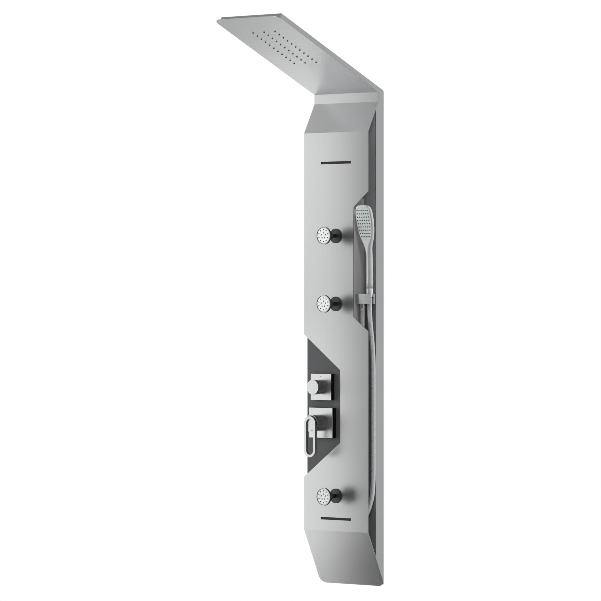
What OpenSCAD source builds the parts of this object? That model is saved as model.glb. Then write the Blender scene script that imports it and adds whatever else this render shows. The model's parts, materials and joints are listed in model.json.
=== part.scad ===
// Wall-hung shower panel column: a folded front sheet over a rear tray, with a rain head,
// three swivelling body jets, a diverter, a mixer and a handset on a hose.
// Millimetres. X runs to the right, Z runs up, and the wall is the plane Y = 0.
// Depths are distances in front of the wall, so a point at depth d has Y = -d.

/* [Column] */
// Width of the folded front sheet
sheet_w = 240; // [228:1:260]
// How far the tray's side stands in from the sheet's edge
tray_inset = 8.4; // [6:0.2:12]
// Height of the tray from its foot to its elbow
tray_h = 1450; // [1420:5:1500]
// Depth of the tray's side walls
tray_d = 37.8; // [36:0.2:42]
// Depth of the front face
face_d = 85.4; // [82:0.2:92]
// Thickness of the front sheet
sheet_t = 2; // [1.5:0.1:2.5]
// Thickness of the tray
tray_t = 1.5; // [1:0.1:2]
// Dark gap between the sheet and the tray's edge
shadow_gap = 2; // [1:0.1:3]

/* [Folds of the front sheet] */
// Height of the fold between the apron and the front face
low_fold_z = 156.2; // [140:0.2:165]
// Depth of the apron's foot
foot_d = 6.6; // [5:0.2:10]
// How far the apron hangs below the tray
foot_drop = 4.8; // [2:0.2:8]
// Drop from the elbow to the fold at the top of the front face
top_fold_drop = 121.9; // [110:0.1:135]
// Drop from the elbow to the foot of the narrow band
band_low_drop = 33.6; // [30:0.1:40]
// Drop from the elbow to the fold under the head
band_top_drop = 5.6; // [4:0.1:8]
// Depth of the narrow band
band_d = 36.7; // [35:0.1:40]
// Radius of the apron's corners
apron_corner_r = 22; // [10:1:30]

/* [Head] */
// Rise of the head above the horizontal, in degrees
head_angle = 22.67; // [18:0.01:26]
// Length of the sheet under the head
head_sheet_l = 500; // [470:1:520]
// Length of the tray over the head
head_tray_l = 511.8; // [480:0.1:511.8]
// Radius of the head's front corners
head_corner_r = 22; // [10:1:30]
// Distance from the elbow fold to the first row of nozzles
nozzle_start = 208; // [190:1:220]
// Distance between nozzles along the head
nozzle_pitch = 20.2; // [18:0.1:21]
// Distance between the lines of nozzles
nozzle_line_gap = 41; // [36:0.5:44]
// Nozzles in a line
nozzle_count = 11; // [7:1:12]
// Radius of a head nozzle
nozzle_r = 2.4; // [1.8:0.1:3]
// How far a head nozzle stands out
nozzle_out = 2; // [1:0.1:3]
// Half width of the rain chamber
chamber_half_w = 64; // [60:1:80]
// Thickness of the rain chamber
chamber_h = 12; // [10:0.1:12.5]
// Wall of the rain chamber
chamber_wall = 1.8; // [1:0.1:2.5]

/* [Cut-outs] */
// Depth of the dark control panel
panel_d = 74; // [70:0.5:76]
// Height of the control cut-out's lower end at the sheet's edge
control_low_z = 312.5; // [300:0.5:320]
// Height where its lower slope ends
control_low_in_z = 416.1; // [410:0.1:420]
// Height where its upper slope starts
control_high_in_z = 629.2; // [625:0.1:640]
// Height of its upper end at the sheet's edge
control_high_z = 734; // [720:1:740]
// Distance from the sheet's middle to its inner edge, on the sheet as measured
control_in_place = 16.4; // [14:0.1:20]
// Height of the niche's lower end at the sheet's edge
niche_low_z = 744; // [738:1:750]
// Height where its lower slope ends
niche_low_in_z = 785; // [780:1:790]
// Height where its upper slope starts
niche_high_in_z = 1107; // [1100:1:1115]
// Height of its upper end at the sheet's edge
niche_high_z = 1152; // [1145:1:1160]
// Distance from the sheet's edge to the niche's inner edge
niche_depth = 54.3; // [50:0.1:58]
// Radius of the cut-outs' corners
cutout_corner_r = 4; // [1:0.5:6]

/* [Slots] */
// Half length of a slot
slot_half_w = 56.5; // [45:0.5:65]
// Height of a slot's opening
slot_h = 7.6; // [5:0.1:9]
// Height of the upper slot
upper_slot_z = 1238.8; // [1200:0.1:1260]
// Height of the lower slot
lower_slot_z = 192.3; // [185:0.1:200]

/* [Jets] */
// Height of the upper jet
upper_jet_z = 1023.6; // [1000:0.1:1040]
// Height of the middle jet
middle_jet_z = 823.9; // [815:0.1:835]
// Height of the lower jet
lower_jet_z = 259.7; // [255:0.1:265]
// How far a jet's rim stands in front of the sheet
jet_out = 60; // [58:0.5:64]
// Radius of a jet's face
jet_r = 26.2; // [24:0.1:30]
// Depth of a jet's rim
jet_rim = 7; // [6:0.5:9]
// Radius of the socket behind the rim
jet_socket_r = 14.3; // [14:0.1:16]
// Radius of the ball inside a jet
jet_ball_r = 9.5; // [9:0.1:9.8]
// Radius of a jet's base flange
jet_flange_r = 21.5; // [18:0.5:24]
// Radius of a jet's threaded stem
jet_stem_r = 10; // [8:0.5:11]
// Swing of a jet to each side, in degrees
jet_swing = 12; // [5:1:12]

/* [Diverter] */
// Distance from the sheet's middle to both controls, on the sheet as measured
control_place = 53; // [52:0.5:54]
// Height of the diverter
diverter_z = 579; // [577:0.5:582]
// Side of the diverter's plate
diverter_plate_w = 77; // [70:0.5:80]
// Thickness of the diverter's plate
diverter_plate_t = 15.4; // [12:0.1:16]
// Radius of the diverter's knob
knob_r = 21.5; // [18:0.5:24]
// Length of the diverter's knob
knob_l = 39.3; // [35:0.1:42]

/* [Mixer] */
// Height of the mixer
mixer_z = 473.5; // [472:0.5:475]
// Side of the mixer's plate
mixer_plate_w = 88.6; // [85:0.2:92]
// Thickness of the mixer's plate
mixer_plate_t = 17; // [15:0.5:18]
// Outer radius of the mixer's skirt
skirt_r = 24.4; // [24:0.1:27]
// Wall of the skirt
skirt_wall = 1.6; // [1.2:0.1:1.8]
// Length of the skirt
skirt_l = 45.7; // [44:0.1:48]
// Half width of the lever's loop
lever_r = 20.5; // [19:0.1:20.6]
// Width of the loop's bar
lever_bar = 7.5; // [6:0.1:8.5]
// Depth of the loop's bar
lever_t = 9; // [8:0.5:10]
// How far the lever's front stands out of the skirt
lever_out = 5.5; // [5:0.1:6]
// Length of the lever between its two end centres
lever_l = 79.4; // [70:0.1:82]
// How far the lever lifts, in degrees
lever_lift = 22; // [10:1:25]

/* [Handset] */
// Distance from the sheet's edge to the handset's axis
handset_inset = 16; // [15.5:0.1:16.5]
// Depth of the handset's axis
handset_d = 57; // [56.5:0.1:57.5]
// Height of the bracket's top
bracket_top_z = 853; // [850:0.5:856]
// Height of the bracket
bracket_h = 29; // [26:0.5:32]
// How far the bracket reaches behind the handset's axis
bracket_back = 13; // [12.5:0.1:14]
// How far the bracket reaches in front of the handset's axis
bracket_front = 22; // [20:0.5:24]
// Radius of the handle
handle_r = 10.5; // [10:0.1:11]
// Height of the seam above the bracket
seam_h = 16; // [12:0.5:20]
// Height of the handset above its seam
handset_h = 243.4; // [235:0.2:246]
// Half width of the handset's head
head_half_w = 30.2; // [29:0.1:31]
// Distance from the handset's axis to the top of its face
head_front = 37.6; // [36:0.2:38]
// How far the handset's face leans forward, in degrees
face_lean = 12; // [10:0.5:13]
// How far the handset lifts before it is free of its seat
handset_lift = 10; // [8:1:12]
// Radius of the hose
hose_r = 7; // [6.5:0.1:7.2]

/* [Hidden] */
$fn = 64;

// Overrun of every cut
over = 2;
// Clearance of a pin or neck in a hole that holds it still
fit = 0.1;
// Running clearance between pieces that move on each other
run = 0.3;
// Gap under a piece that is set down on the sloping sheet
settle = 0.02;
half_w = sheet_w / 2;
tray_half = half_w - tray_inset;
tray_in = tray_half - tray_t;

// Places across that keep their share of the sheet's width, whose measured half is 120
measured_half_w = 120;
across_share = half_w / measured_half_w;
control_x = -control_place * across_share;
control_in_x = control_in_place * across_share;
handset_x = half_w - handset_inset;

// Core cover and rails
core_t = 1.5;
core_set = 1.3;
core_d = tray_d - core_set;
core_inner_d = core_d - core_t;
core_low_z = low_fold_z / 2;
core_top_share = 0.41;
core_high_z = tray_h - core_top_share * top_fold_drop;
core_gap = 0.2;
rail_t = 1.5;
rail_w_measured = 14;
rail_w = rail_w_measured * across_share;
rail_end_gap = 12;
core_screw_rows = 5;
core_screw_r = 2;
core_screw_head_r = 4;
core_screw_head_h = 1.6;
core_screw_l = 7;

// Sheet brackets
bracket_channel_w = 30;
bracket_channel_h = 24;
bracket_channel_t = 1.5;
sheet_bracket_x = half_w / 2;

// Tubes
pipe_r = 6;
riser_r = 5;
pipe_wall = 1;
bend_r = 20;
riser_d = 19;
jet_pipe_d = 12;
handset_pipe_d = 27.5;
handset_pipe_place = 36;
handset_pipe_x = handset_pipe_place * across_share;
nut_r = 10;
nut_h = 9;

// Valve body
valve_back_d = 5;
valve_front_d = 44;
valve_half_w = 20;
valve_top = 25;
valve_drop = 74;
cross_back_d = 22;
inlet_place = 28;
inlet_half_gap = inlet_place * across_share;
cross_edge = 14;
cross_half_w = inlet_half_gap + cross_edge;
cross_half_h = 16;
chamber_front_d = 66;
mixer_chamber_r = 24;
mixer_bore_r = 18.5;
diverter_chamber_r = 17;
diverter_bore_r = 12.5;
mixer_bore_back = 34;
diverter_bore_back = 9;
waterway_r = 4;
jet_waterway_r = 3;
nut_inset = 1;
inlet_r = 10.48;
inlet_bore_r = 7.5;
inlet_end_d = 8;
window_margin = 14.5;
window_half_h = 27.5;
core_window_gap = 3;

// Control housing
housing_margin = 4;
housing_wall = 2.5;
housing_left_gap = 3;
mixer_neck_r = 14;
diverter_neck_r = 9;
neck_gap = 2;
spindle_r = 4;

// Jets
jet_liner_t = 1.6;
jet_flange_t = 3;
jet_neck_r = 5.5;
jet_tail_r = 6;
jet_tail_l = 8;
jet_bore_r = 3.5;
jet_boss_r = 11;
jet_boss_front_d = core_inner_d - over;
jet_rim_edge = 2.2;
jet_face_r = jet_r - jet_rim_edge;
jet_face_t = 3.4;
jet_face_set = 0.6;
jet_ball_back = 24;
jet_outer_r = 17.4;
jet_inner_r = 8;
jet_outer_count = 10;
jet_inner_count = 5;
jet_nozzle_r = 1.5;
jet_nozzle_h = 1;
jet_ball_d = face_d + jet_out - jet_ball_back;
jet_front_d = face_d + jet_out;

// Handset and hose
seat_h = handset_lift;
cone_top_r = 9.2;
cone_low_r = 7.9;
stub_r = 6;
washer_t = 2;
cone_floor = 3;
stub_l = seat_h - washer_t - cone_floor;
outlet_stub_l = 8;
water_bore_r = 3.5;
outlet_stub_r = 5;
slot_half = 7.6;
arm_end_gap = 23.6;
arm_end_x = handset_x - arm_end_gap;
bracket_end = 10.4;
arm_front_d = 76;
arm_back_d = 46;
outlet_gap = 25;
outlet_x = handset_x - outlet_gap;
outlet_d = 58;
outlet_nut_r = 8.5;
outlet_nut_h = 12;
face_plate_t = 1.6;
handset_nozzle_r = 1.8;
handset_nozzle_h = 1.4;
seam_z = bracket_top_z + seam_h;
seat_low_z = bracket_top_z - seat_h;
bracket_low_z = bracket_top_z - bracket_h;

// The front sheet's outer line from the apron's foot to the head's tip, as depth and height
head_run = [cos(head_angle), sin(head_angle)];
elbow_fold = [band_d, tray_h - band_top_drop];
sheet_line = [
    [foot_d, -foot_drop],
    [face_d, low_fold_z],
    [face_d, tray_h - top_fold_drop],
    [band_d, tray_h - band_low_drop],
    elbow_fold,
    elbow_fold + head_sheet_l * head_run
];

function unit(v) = v / norm(v);
function left_of(v) = [-v[1], v[0]];
function backwards(list) = [for (i = [len(list) - 1:-1:0]) list[i]];

// A line moved sideways by t, with its corners mitred
function shifted(line, t) = [
    for (i = [0:len(line) - 1])
        let (
            a = max(i - 1, 0),
            b = min(i, len(line) - 2),
            n = left_of(unit(line[a + 1] - line[a])),
            m = left_of(unit(line[b + 1] - line[b]))
        )
        line[i] + t * (n + m) / (1 + n * m)
];

// An outline with each corner rounded to its own radius
arc_steps = 6;
function rounded(points, radii) = [
    for (i = [0:len(points) - 1])
        let (
            n = len(points),
            p = points[i],
            a = unit(points[(i + n - 1) % n] - p),
            b = unit(points[(i + 1) % n] - p),
            half = acos(a * b) / 2,
            r = radii[i],
            centre = p + unit(a + b) * r / sin(half)
        )
        for (s = [0:r > 0 ? arc_steps : 0])
            r > 0
                ? centre + r * unit((p + a * r / tan(half) - centre) * (1 - s / arc_steps)
                    + (p + b * r / tan(half) - centre) * s / arc_steps)
                : p
];

// A point of the head, measured along it and down from the tray's top plane
function head_point(along, drop) =
    [0, tray_h] + along * head_run + drop * [head_run[1], -head_run[0]];

// Basic solids, placed by their place across, depth and height
module at(x, d, z) {
    translate([x, -d, z]) children();
}

module rod_y(x, z, from_d, to_d, r) {
    at(x, from_d, z) rotate([90, 0, 0]) cylinder(r = r, h = to_d - from_d);
}

module rod_z(x, d, from_z, to_z, r) {
    at(x, d, from_z) cylinder(r = r, h = to_z - from_z);
}

module cone_z(x, d, from_z, to_z, from_r, to_r) {
    at(x, d, from_z) cylinder(r1 = from_r, r2 = to_r, h = to_z - from_z);
}

module rod_x(d, z, from_x, to_x, r) {
    at(from_x, d, z) rotate([0, 90, 0]) cylinder(r = r, h = to_x - from_x);
}

module block(from_x, to_x, from_d, to_d, from_z, to_z) {
    at(from_x, to_d, from_z) cube([to_x - from_x, to_d - from_d, to_z - from_z]);
}

// A side outline of depths and heights, drawn across the column
module across(from_x, to_x, points) {
    translate([to_x, 0, 0]) rotate([90, 0, -90]) linear_extrude(to_x - from_x) polygon(points);
}

// A front outline of places and heights, drawn forward between two depths
module forward(from_d, to_d, points) {
    at(0, from_d, 0) rotate([90, 0, 0]) linear_extrude(to_d - from_d) polygon(points);
}

// Solids drawn in the head's own frame: X across, Y down the head towards the wall, Z up from
// the sheet's underside, with the elbow fold as the origin
module on_head() {
    translate([0, -elbow_fold[0], elbow_fold[1]]) rotate([-head_angle, 0, 0]) children();
}

// Rear tray
tray_tip_drop = 40;
tray_elbow_r = 7.5;

function corner_along(inset) = inset * (1 - sin(head_angle)) / cos(head_angle);

function tray_points(inset, front_d) = [
    [inset, inset],
    [front_d, inset],
    head_point((front_d - tray_tip_drop * sin(head_angle)) / cos(head_angle), tray_tip_drop),
    head_point(head_tray_l - inset, tray_tip_drop),
    head_point(head_tray_l - inset, inset),
    head_point(corner_along(inset), inset)
];

// Everything behind the sheet's line, as depth and height
function behind_sheet(gap) =
    let (line = shifted(sheet_line, sheet_t + gap), tip = line[len(line) - 1])
    concat(
        line,
        [
            tip + left_of(head_run) * tray_tip_drop,
            [-over, tray_h + tray_tip_drop],
            [-over, line[0][1]]
        ]
    );

hang_edge = 30.1;
hang_x = tray_in - hang_edge;
hang_low_z = 260;
hang_high_z = tray_h - top_fold_drop;
hang_hole_r = 4;

module rear_tray() {
    color("silver") difference() {
        intersection() {
            across(-tray_half, tray_half,
                rounded(tray_points(0, tray_d), [0, 0, 0, 0, 0, tray_elbow_r]));
            across(-half_w, half_w, behind_sheet(shadow_gap));
        }
        across(-tray_in, tray_in, tray_points(tray_t, tray_d + over));
        for (x = [-hang_x, hang_x], z = [hang_low_z, hang_high_z])
            rod_y(x, z, -over, tray_t + over, hang_hole_r);
        block(
            control_x - inlet_half_gap - window_margin, control_x + inlet_half_gap + window_margin,
            -over, tray_t + over,
            mixer_z - window_half_h, mixer_z + window_half_h
        );
    }
}

// Rails and core cover
rail_low_z = core_low_z + rail_end_gap;
rail_high_z = core_high_z - rail_end_gap;

function core_screw_z(i) =
    rail_low_z + rail_end_gap + i * (rail_high_z - rail_low_z - 2 * rail_end_gap) / (core_screw_rows - 1);

core_screw_x = tray_in - rail_w / 2;

module side_rails() {
    color("gray") for (side = [0, 1]) mirror([side, 0, 0]) difference() {
        block(tray_in - rail_w, tray_in, tray_t, core_inner_d, rail_low_z, rail_high_z);
        block(
            tray_in - rail_w - over, tray_in - rail_t, tray_t + rail_t, core_inner_d - rail_t,
            rail_low_z - over, rail_high_z + over
        );
        for (i = [0:core_screw_rows - 1])
            rod_y(core_screw_x, core_screw_z(i), tray_t + rail_t, core_d, core_screw_r + fit);
    }
}

module core_screws() {
    color("dimgray") for (side = [-1, 1], i = [0:core_screw_rows - 1]) {
        rod_y(side * core_screw_x, core_screw_z(i), core_d - core_screw_l, core_d, core_screw_r);
        rod_y(side * core_screw_x, core_screw_z(i), core_d, core_d + core_screw_head_h, core_screw_head_r);
    }
}

module core_cover() {
    color("dimgray") difference() {
        block(-tray_in + core_gap, tray_in - core_gap, core_inner_d, core_d, core_low_z, core_high_z);
        block(
            control_x - cross_half_w - core_window_gap, control_x + cross_half_w + core_window_gap,
            core_inner_d - over, core_d + over,
            mixer_z - mixer_chamber_r - core_window_gap, diverter_z + valve_top + core_window_gap
        );
        for (z = [upper_jet_z, middle_jet_z, lower_jet_z])
            rod_y(0, z, core_inner_d - over, core_d + over, jet_stem_r + fit);
        block(
            handset_pipe_x - pipe_r - core_window_gap, handset_pipe_x + pipe_r + core_window_gap,
            core_inner_d - over, core_d + over,
            arm_z - bend_r, arm_z + pipe_r + core_window_gap
        );
        for (side = [-1, 1], i = [0:core_screw_rows - 1])
            rod_y(side * core_screw_x, core_screw_z(i), core_inner_d - over, core_d + over,
                core_screw_r + fit);
    }
}

// Front sheet with its cut-outs, slots and holes
control_outline = [
    [-half_w, control_high_z], [-half_w - over, control_high_z],
    [-half_w - over, control_low_z], [-half_w, control_low_z],
    [control_in_x, control_low_in_z], [control_in_x, control_high_in_z]
];
niche_in_x = half_w - niche_depth;
niche_outline = [
    [half_w, niche_low_z], [half_w + over, niche_low_z],
    [half_w + over, niche_high_z], [half_w, niche_high_z],
    [niche_in_x, niche_high_in_z], [niche_in_x, niche_low_in_z]
];
cutout_radii = [0, 0, 0, 0, cutout_corner_r, cutout_corner_r];

// The waste outside a rounded corner, as a plate that stands on the plane Z = 0
corner_steps = 12;
corner_clear = 0.05;

module corner_waste(r, from_z, to_z) {
    translate([corner_clear, corner_clear, from_z]) linear_extrude(to_z - from_z) polygon(concat(
        [
            for (s = [0:corner_steps])
                r * [cos(90 * s / corner_steps) - 1, sin(90 * s / corner_steps) - 1]
        ],
        [[-r, over], [over, over], [over, -r]]
    ));
}

apron_tilt = atan2(low_fold_z + foot_drop, face_d - foot_d);

module front_panel() {
    color("lightgray") difference() {
        across(-half_w, half_w, concat(sheet_line, backwards(shifted(sheet_line, sheet_t))));
        forward(face_d - sheet_t - over, face_d + over, rounded(control_outline, cutout_radii));
        forward(face_d - sheet_t - over, face_d + over, rounded(niche_outline, cutout_radii));
        for (z = [upper_slot_z, lower_slot_z])
            block(-slot_half_w, slot_half_w, face_d - sheet_t - over, face_d + over,
                z - slot_h / 2, z + slot_h / 2);
        for (z = [upper_jet_z, middle_jet_z, lower_jet_z])
            rod_y(0, z, face_d - sheet_t - over, face_d + over, jet_stem_r + fit);
        on_head() for (x = [-1:1], i = [0:nozzle_count - 1])
            translate([x * nozzle_line_gap, -nozzle_start - i * nozzle_pitch, -over])
                cylinder(r = nozzle_r + fit, h = sheet_t + 2 * over);
        on_head() for (side = [0, 1]) mirror([side, 0, 0])
            translate([half_w, -head_sheet_l, 0]) rotate([0, 0, -90])
                corner_waste(head_corner_r, -over, sheet_t + over);
        translate([0, -foot_d, -foot_drop]) rotate([-apron_tilt, 0, 0])
            for (side = [0, 1]) mirror([side, 0, 0])
                translate([half_w, 0, 0]) corner_waste(apron_corner_r, -over, sheet_t + over);
    }
}

// Channels that carry the sheet on the core cover
sheet_bracket_places = [
    [sheet_bracket_x, upper_slot_z - 2 * bracket_channel_h],
    [-sheet_bracket_x, upper_slot_z - 2 * bracket_channel_h],
    [-sheet_bracket_x, (upper_jet_z + middle_jet_z) / 2],
    [sheet_bracket_x, lower_jet_z + 2 * bracket_channel_h],
    [-sheet_bracket_x - bracket_channel_w, lower_jet_z + bracket_channel_h]
];

module sheet_brackets() {
    color("gray") for (p = sheet_bracket_places) difference() {
        block(p[0] - bracket_channel_w / 2, p[0] + bracket_channel_w / 2,
            core_d, face_d - sheet_t, p[1] - bracket_channel_h / 2, p[1] + bracket_channel_h / 2);
        block(p[0] - bracket_channel_w / 2 - over, p[0] + bracket_channel_w / 2 + over,
            core_d + bracket_channel_t, face_d - sheet_t - bracket_channel_t,
            p[1] - bracket_channel_h / 2 + bracket_channel_t, p[1] + bracket_channel_h / 2 + over);
    }
}

slot_insert_t = 2;
slot_insert_edge = 6;
slot_lip = 1.2;
slot_clear = 0.2;

module slot_inserts() {
    color("black") for (z = [upper_slot_z, lower_slot_z]) difference() {
        union() {
            block(-slot_half_w - slot_insert_edge, slot_half_w + slot_insert_edge,
                face_d - sheet_t - slot_insert_t, face_d - sheet_t,
                z - slot_h / 2 - slot_insert_edge, z + slot_h / 2 + slot_insert_edge);
            block(-slot_half_w + slot_clear, slot_half_w - slot_clear,
                face_d - sheet_t, face_d - slot_clear,
                z - slot_h / 2 + slot_clear, z + slot_h / 2 - slot_clear);
        }
        block(-slot_half_w + slot_lip, slot_half_w - slot_lip,
            face_d - sheet_t, face_d + over, z - slot_h / 2 + slot_lip, z + slot_h / 2 - slot_lip);
    }
}

liner_t = 1.2;
liner_reach = 26;
liner_foot_w = 20;

module niche_liner() {
    color("darkgray") difference() {
        union() {
            block(niche_in_x - liner_t, niche_in_x, core_d, face_d - sheet_t,
                niche_low_in_z - liner_reach, niche_high_in_z + liner_reach);
            block(niche_in_x - liner_foot_w, niche_in_x, core_d, core_d + liner_t,
                niche_low_in_z - liner_reach, niche_high_in_z + liner_reach);
        }
        rod_x(handset_d, arm_z, niche_in_x - liner_t - over, niche_in_x + over, pipe_r + fit);
    }
}

// Dark control housing behind the left cut-out
housing_outline = [
    [-half_w + housing_left_gap, control_high_z + housing_margin],
    [-half_w + housing_left_gap, control_low_z - housing_margin],
    [control_in_x + housing_margin, control_low_in_z - housing_margin],
    [control_in_x + housing_margin, control_high_in_z + housing_margin]
];

module control_housing() {
    color("dimgray") difference() {
        forward(core_d, face_d - sheet_t, housing_outline);
        intersection() {
            forward(core_d - over, panel_d - housing_wall,
                backwards(shifted_in(housing_outline, housing_wall)));
            forward(core_d - over, panel_d - housing_wall, housing_outline);
        }
        intersection() {
            forward(panel_d, face_d, [
                [-half_w - over, control_high_z + housing_margin + over],
                [-half_w - over, control_low_z - housing_margin - over],
                [control_in_x + over, control_low_in_z - housing_margin],
                [control_in_x + over, control_high_in_z + housing_margin]
            ]);
            forward(panel_d, face_d, lip_outline);
        }
        block(-half_w, -tray_in + core_gap, core_d - over, tray_d + shadow_gap,
            control_low_z - housing_margin - over, control_high_z + housing_margin + over);
        rod_y(control_x, mixer_z, core_d, panel_d + over, mixer_neck_r + neck_gap);
        rod_y(control_x, diverter_z, core_d, panel_d + over, diverter_neck_r + neck_gap);
    }
}

// An outline moved inwards by a wall, for outlines drawn anticlockwise
function shifted_in(points, wall) = [
    for (i = [0:len(points) - 1])
        let (
            n = len(points),
            u = left_of(unit(points[i] - points[(i + n - 1) % n])),
            v = left_of(unit(points[(i + 1) % n] - points[i]))
        )
        points[i] + wall * (u + v) / (1 + u * v)
];

lip_outline = concat(
    [[-half_w - over, control_high_z + over], [-half_w - over, control_low_z - over]],
    [
        [-half_w, control_low_z], [control_in_x, control_low_in_z],
        [control_in_x, control_high_in_z], [-half_w, control_high_z]
    ]
);

// Head: spacers, rain chamber and nozzles, drawn upward from the sheet's underside
head_gap = (elbow_fold - [0, tray_h]) * [head_run[1], -head_run[0]] - sheet_t - tray_t;
spacer_r = 6;
spacer_edge = 28;
chamber_end = 18;
chamber_l = nozzle_pitch * (nozzle_count - 1) + 2 * chamber_end;

module head_spacers() {
    color("gray") on_head() for (x = [-1, 1], y = [nozzle_start / 2, head_sheet_l - 2 * spacer_edge])
        translate([x * (tray_in - spacer_edge / 2), -y, sheet_t + settle])
            cylinder(r = spacer_r, h = head_gap - 2 * settle);
}

module rain_chamber() {
    color("whitesmoke") on_head() difference() {
        translate([-chamber_half_w, -nozzle_start - chamber_l + chamber_end, sheet_t + settle])
            cube([2 * chamber_half_w, chamber_l, chamber_h - settle]);
        translate([
            -chamber_half_w + chamber_wall, -nozzle_start - chamber_l + chamber_end + chamber_wall,
            sheet_t + chamber_wall
        ]) cube([
            2 * (chamber_half_w - chamber_wall), chamber_l - 2 * chamber_wall, chamber_h - 2 * chamber_wall
        ]);
        for (x = [-1:1], i = [0:nozzle_count - 1])
            translate([x * nozzle_line_gap, -nozzle_start - i * nozzle_pitch, 0])
                cylinder(r = nozzle_r / 2, h = sheet_t + 2 * chamber_wall, $fn = 24);
        translate([control_x, -nozzle_start + chamber_end + over, sheet_t + chamber_h / 2])
            rotate([90, 0, 0]) cylinder(r = riser_r - pipe_wall, h = chamber_wall + 2 * over);
    }
}

module rain_nozzles() {
    color("gray") on_head() for (x = [-1:1], i = [0:nozzle_count - 1])
        translate([x * nozzle_line_gap, -nozzle_start - i * nozzle_pitch, -nozzle_out])
            difference() {
                cylinder(r = nozzle_r, h = nozzle_out + sheet_t, $fn = 24);
                translate([0, 0, -over])
                    cylinder(r = nozzle_r / 4, h = nozzle_out + sheet_t + 2 * over, $fn = 16);
            }
}

// Riser: a tube up the column, an elbow with a socket for each tube, and a tube along the head
riser_drop = tray_t + head_gap - chamber_h / 2;
riser_corner = head_point((riser_d - riser_drop * sin(head_angle)) / cos(head_angle), riser_drop);
riser_low_z = diverter_z + valve_top;
elbow_r = 8.5;
elbow_half_w = 8;
elbow_bore_r = 3;
elbow_set = 5;
head_pipe_end = norm(elbow_fold + (nozzle_start - chamber_end) * head_run
    + left_of(head_run) * (sheet_t + chamber_h / 2) - riser_corner) - settle;

module along_head() {
    at(control_x, riser_corner[0], riser_corner[1]) rotate([90 - head_angle, 0, 0]) children();
}

module riser_pipe() {
    color("peru") difference() {
        rod_z(control_x, riser_d, riser_low_z, riser_corner[1] - elbow_set, riser_r);
        rod_z(control_x, riser_d, riser_low_z - over, riser_corner[1], riser_r - pipe_wall);
    }
}

module head_pipe() {
    color("peru") along_head() difference() {
        translate([0, 0, elbow_set]) cylinder(r = riser_r, h = head_pipe_end - elbow_set);
        cylinder(r = riser_r - pipe_wall, h = head_pipe_end + over);
    }
}

module riser_elbow() {
    color("goldenrod") difference() {
        rod_x(riser_corner[0], riser_corner[1], control_x - elbow_half_w, control_x + elbow_half_w, elbow_r);
        rod_z(control_x, riser_d, riser_corner[1] - elbow_r - over, riser_corner[1] - elbow_set,
            riser_r + fit);
        rod_z(control_x, riser_d, riser_corner[1] - elbow_r, riser_corner[1] + elbow_bore_r,
            riser_r - pipe_wall);
        along_head() {
            translate([0, 0, elbow_set]) cylinder(r = riser_r + fit, h = elbow_r);
            cylinder(r = elbow_bore_r, h = elbow_r);
        }
    }
}

// Tube with a tee for each jet
module jet_pipe_solid(r, boss_r, boss_from_d, end) {
    rod_z(0, jet_pipe_d, lower_jet_z - jet_boss_r - end, upper_jet_z + jet_boss_r + end, r);
    rod_x(jet_pipe_d, diverter_z, control_x + valve_half_w - over * sign(pipe_r - r), 0, r);
    for (z = [upper_jet_z, middle_jet_z, lower_jet_z])
        rod_y(0, z, boss_from_d, jet_boss_front_d + (r < pipe_r ? over : 0), boss_r);
}

module jet_pipe() {
    color("peru") difference() {
        jet_pipe_solid(pipe_r, jet_boss_r, jet_pipe_d - pipe_r, 0);
        jet_pipe_solid(pipe_r - pipe_wall, jet_tail_r + fit, jet_boss_front_d - jet_tail_l, -pipe_wall);
        for (z = [upper_jet_z, middle_jet_z, lower_jet_z])
            rod_y(0, z, jet_pipe_d, jet_boss_front_d, waterway_r);
    }
}

// Tube from the diverter to the handset's outlet
arm_z = bracket_low_z + bracket_h / 2;
side_bend_r = handset_d - handset_pipe_d - bend_r;

module handset_pipe_solid(r, end) {
    rod_x(handset_pipe_d, diverter_z, control_x + valve_half_w - end, handset_pipe_x - bend_r, r);
    at(handset_pipe_x - bend_r, handset_pipe_d, diverter_z + bend_r)
        rotate([90, 0, 0]) rotate([0, 0, -90]) rotate_extrude(angle = 90)
            translate([bend_r, 0]) circle(r = r);
    rod_z(handset_pipe_x, handset_pipe_d, diverter_z + bend_r, arm_z - bend_r, r);
    at(handset_pipe_x, handset_pipe_d + bend_r, arm_z - bend_r)
        rotate([90, 0, 90]) rotate_extrude(angle = 90) translate([bend_r, 0]) circle(r = r);
    at(handset_pipe_x + side_bend_r, handset_pipe_d + bend_r, arm_z)
        rotate([0, 0, 180]) rotate_extrude(angle = 90) translate([side_bend_r, 0]) circle(r = r);
    rod_x(handset_d, arm_z, handset_pipe_x + side_bend_r, niche_in_x + end, r);
}

module handset_pipe() {
    color("peru") difference() {
        handset_pipe_solid(pipe_r, 0);
        handset_pipe_solid(pipe_r - pipe_wall, over);
    }
}

module pipe_nuts() {
    color("goldenrod") {
        difference() {
            at(control_x, riser_d, diverter_z + valve_top) cylinder(r = nut_r, h = nut_h, $fn = 6);
            rod_z(control_x, riser_d, diverter_z + valve_top - over,
                diverter_z + valve_top + nut_h + over, riser_r + fit);
        }
        difference() {
            at(control_x + valve_half_w, handset_pipe_d, diverter_z)
                rotate([0, 90, 0]) cylinder(r = nut_r - neck_gap, h = nut_h, $fn = 6);
            rod_x(handset_pipe_d, diverter_z, control_x + valve_half_w - over,
                control_x + valve_half_w + nut_h + over, pipe_r + fit);
        }
    }
}

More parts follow.
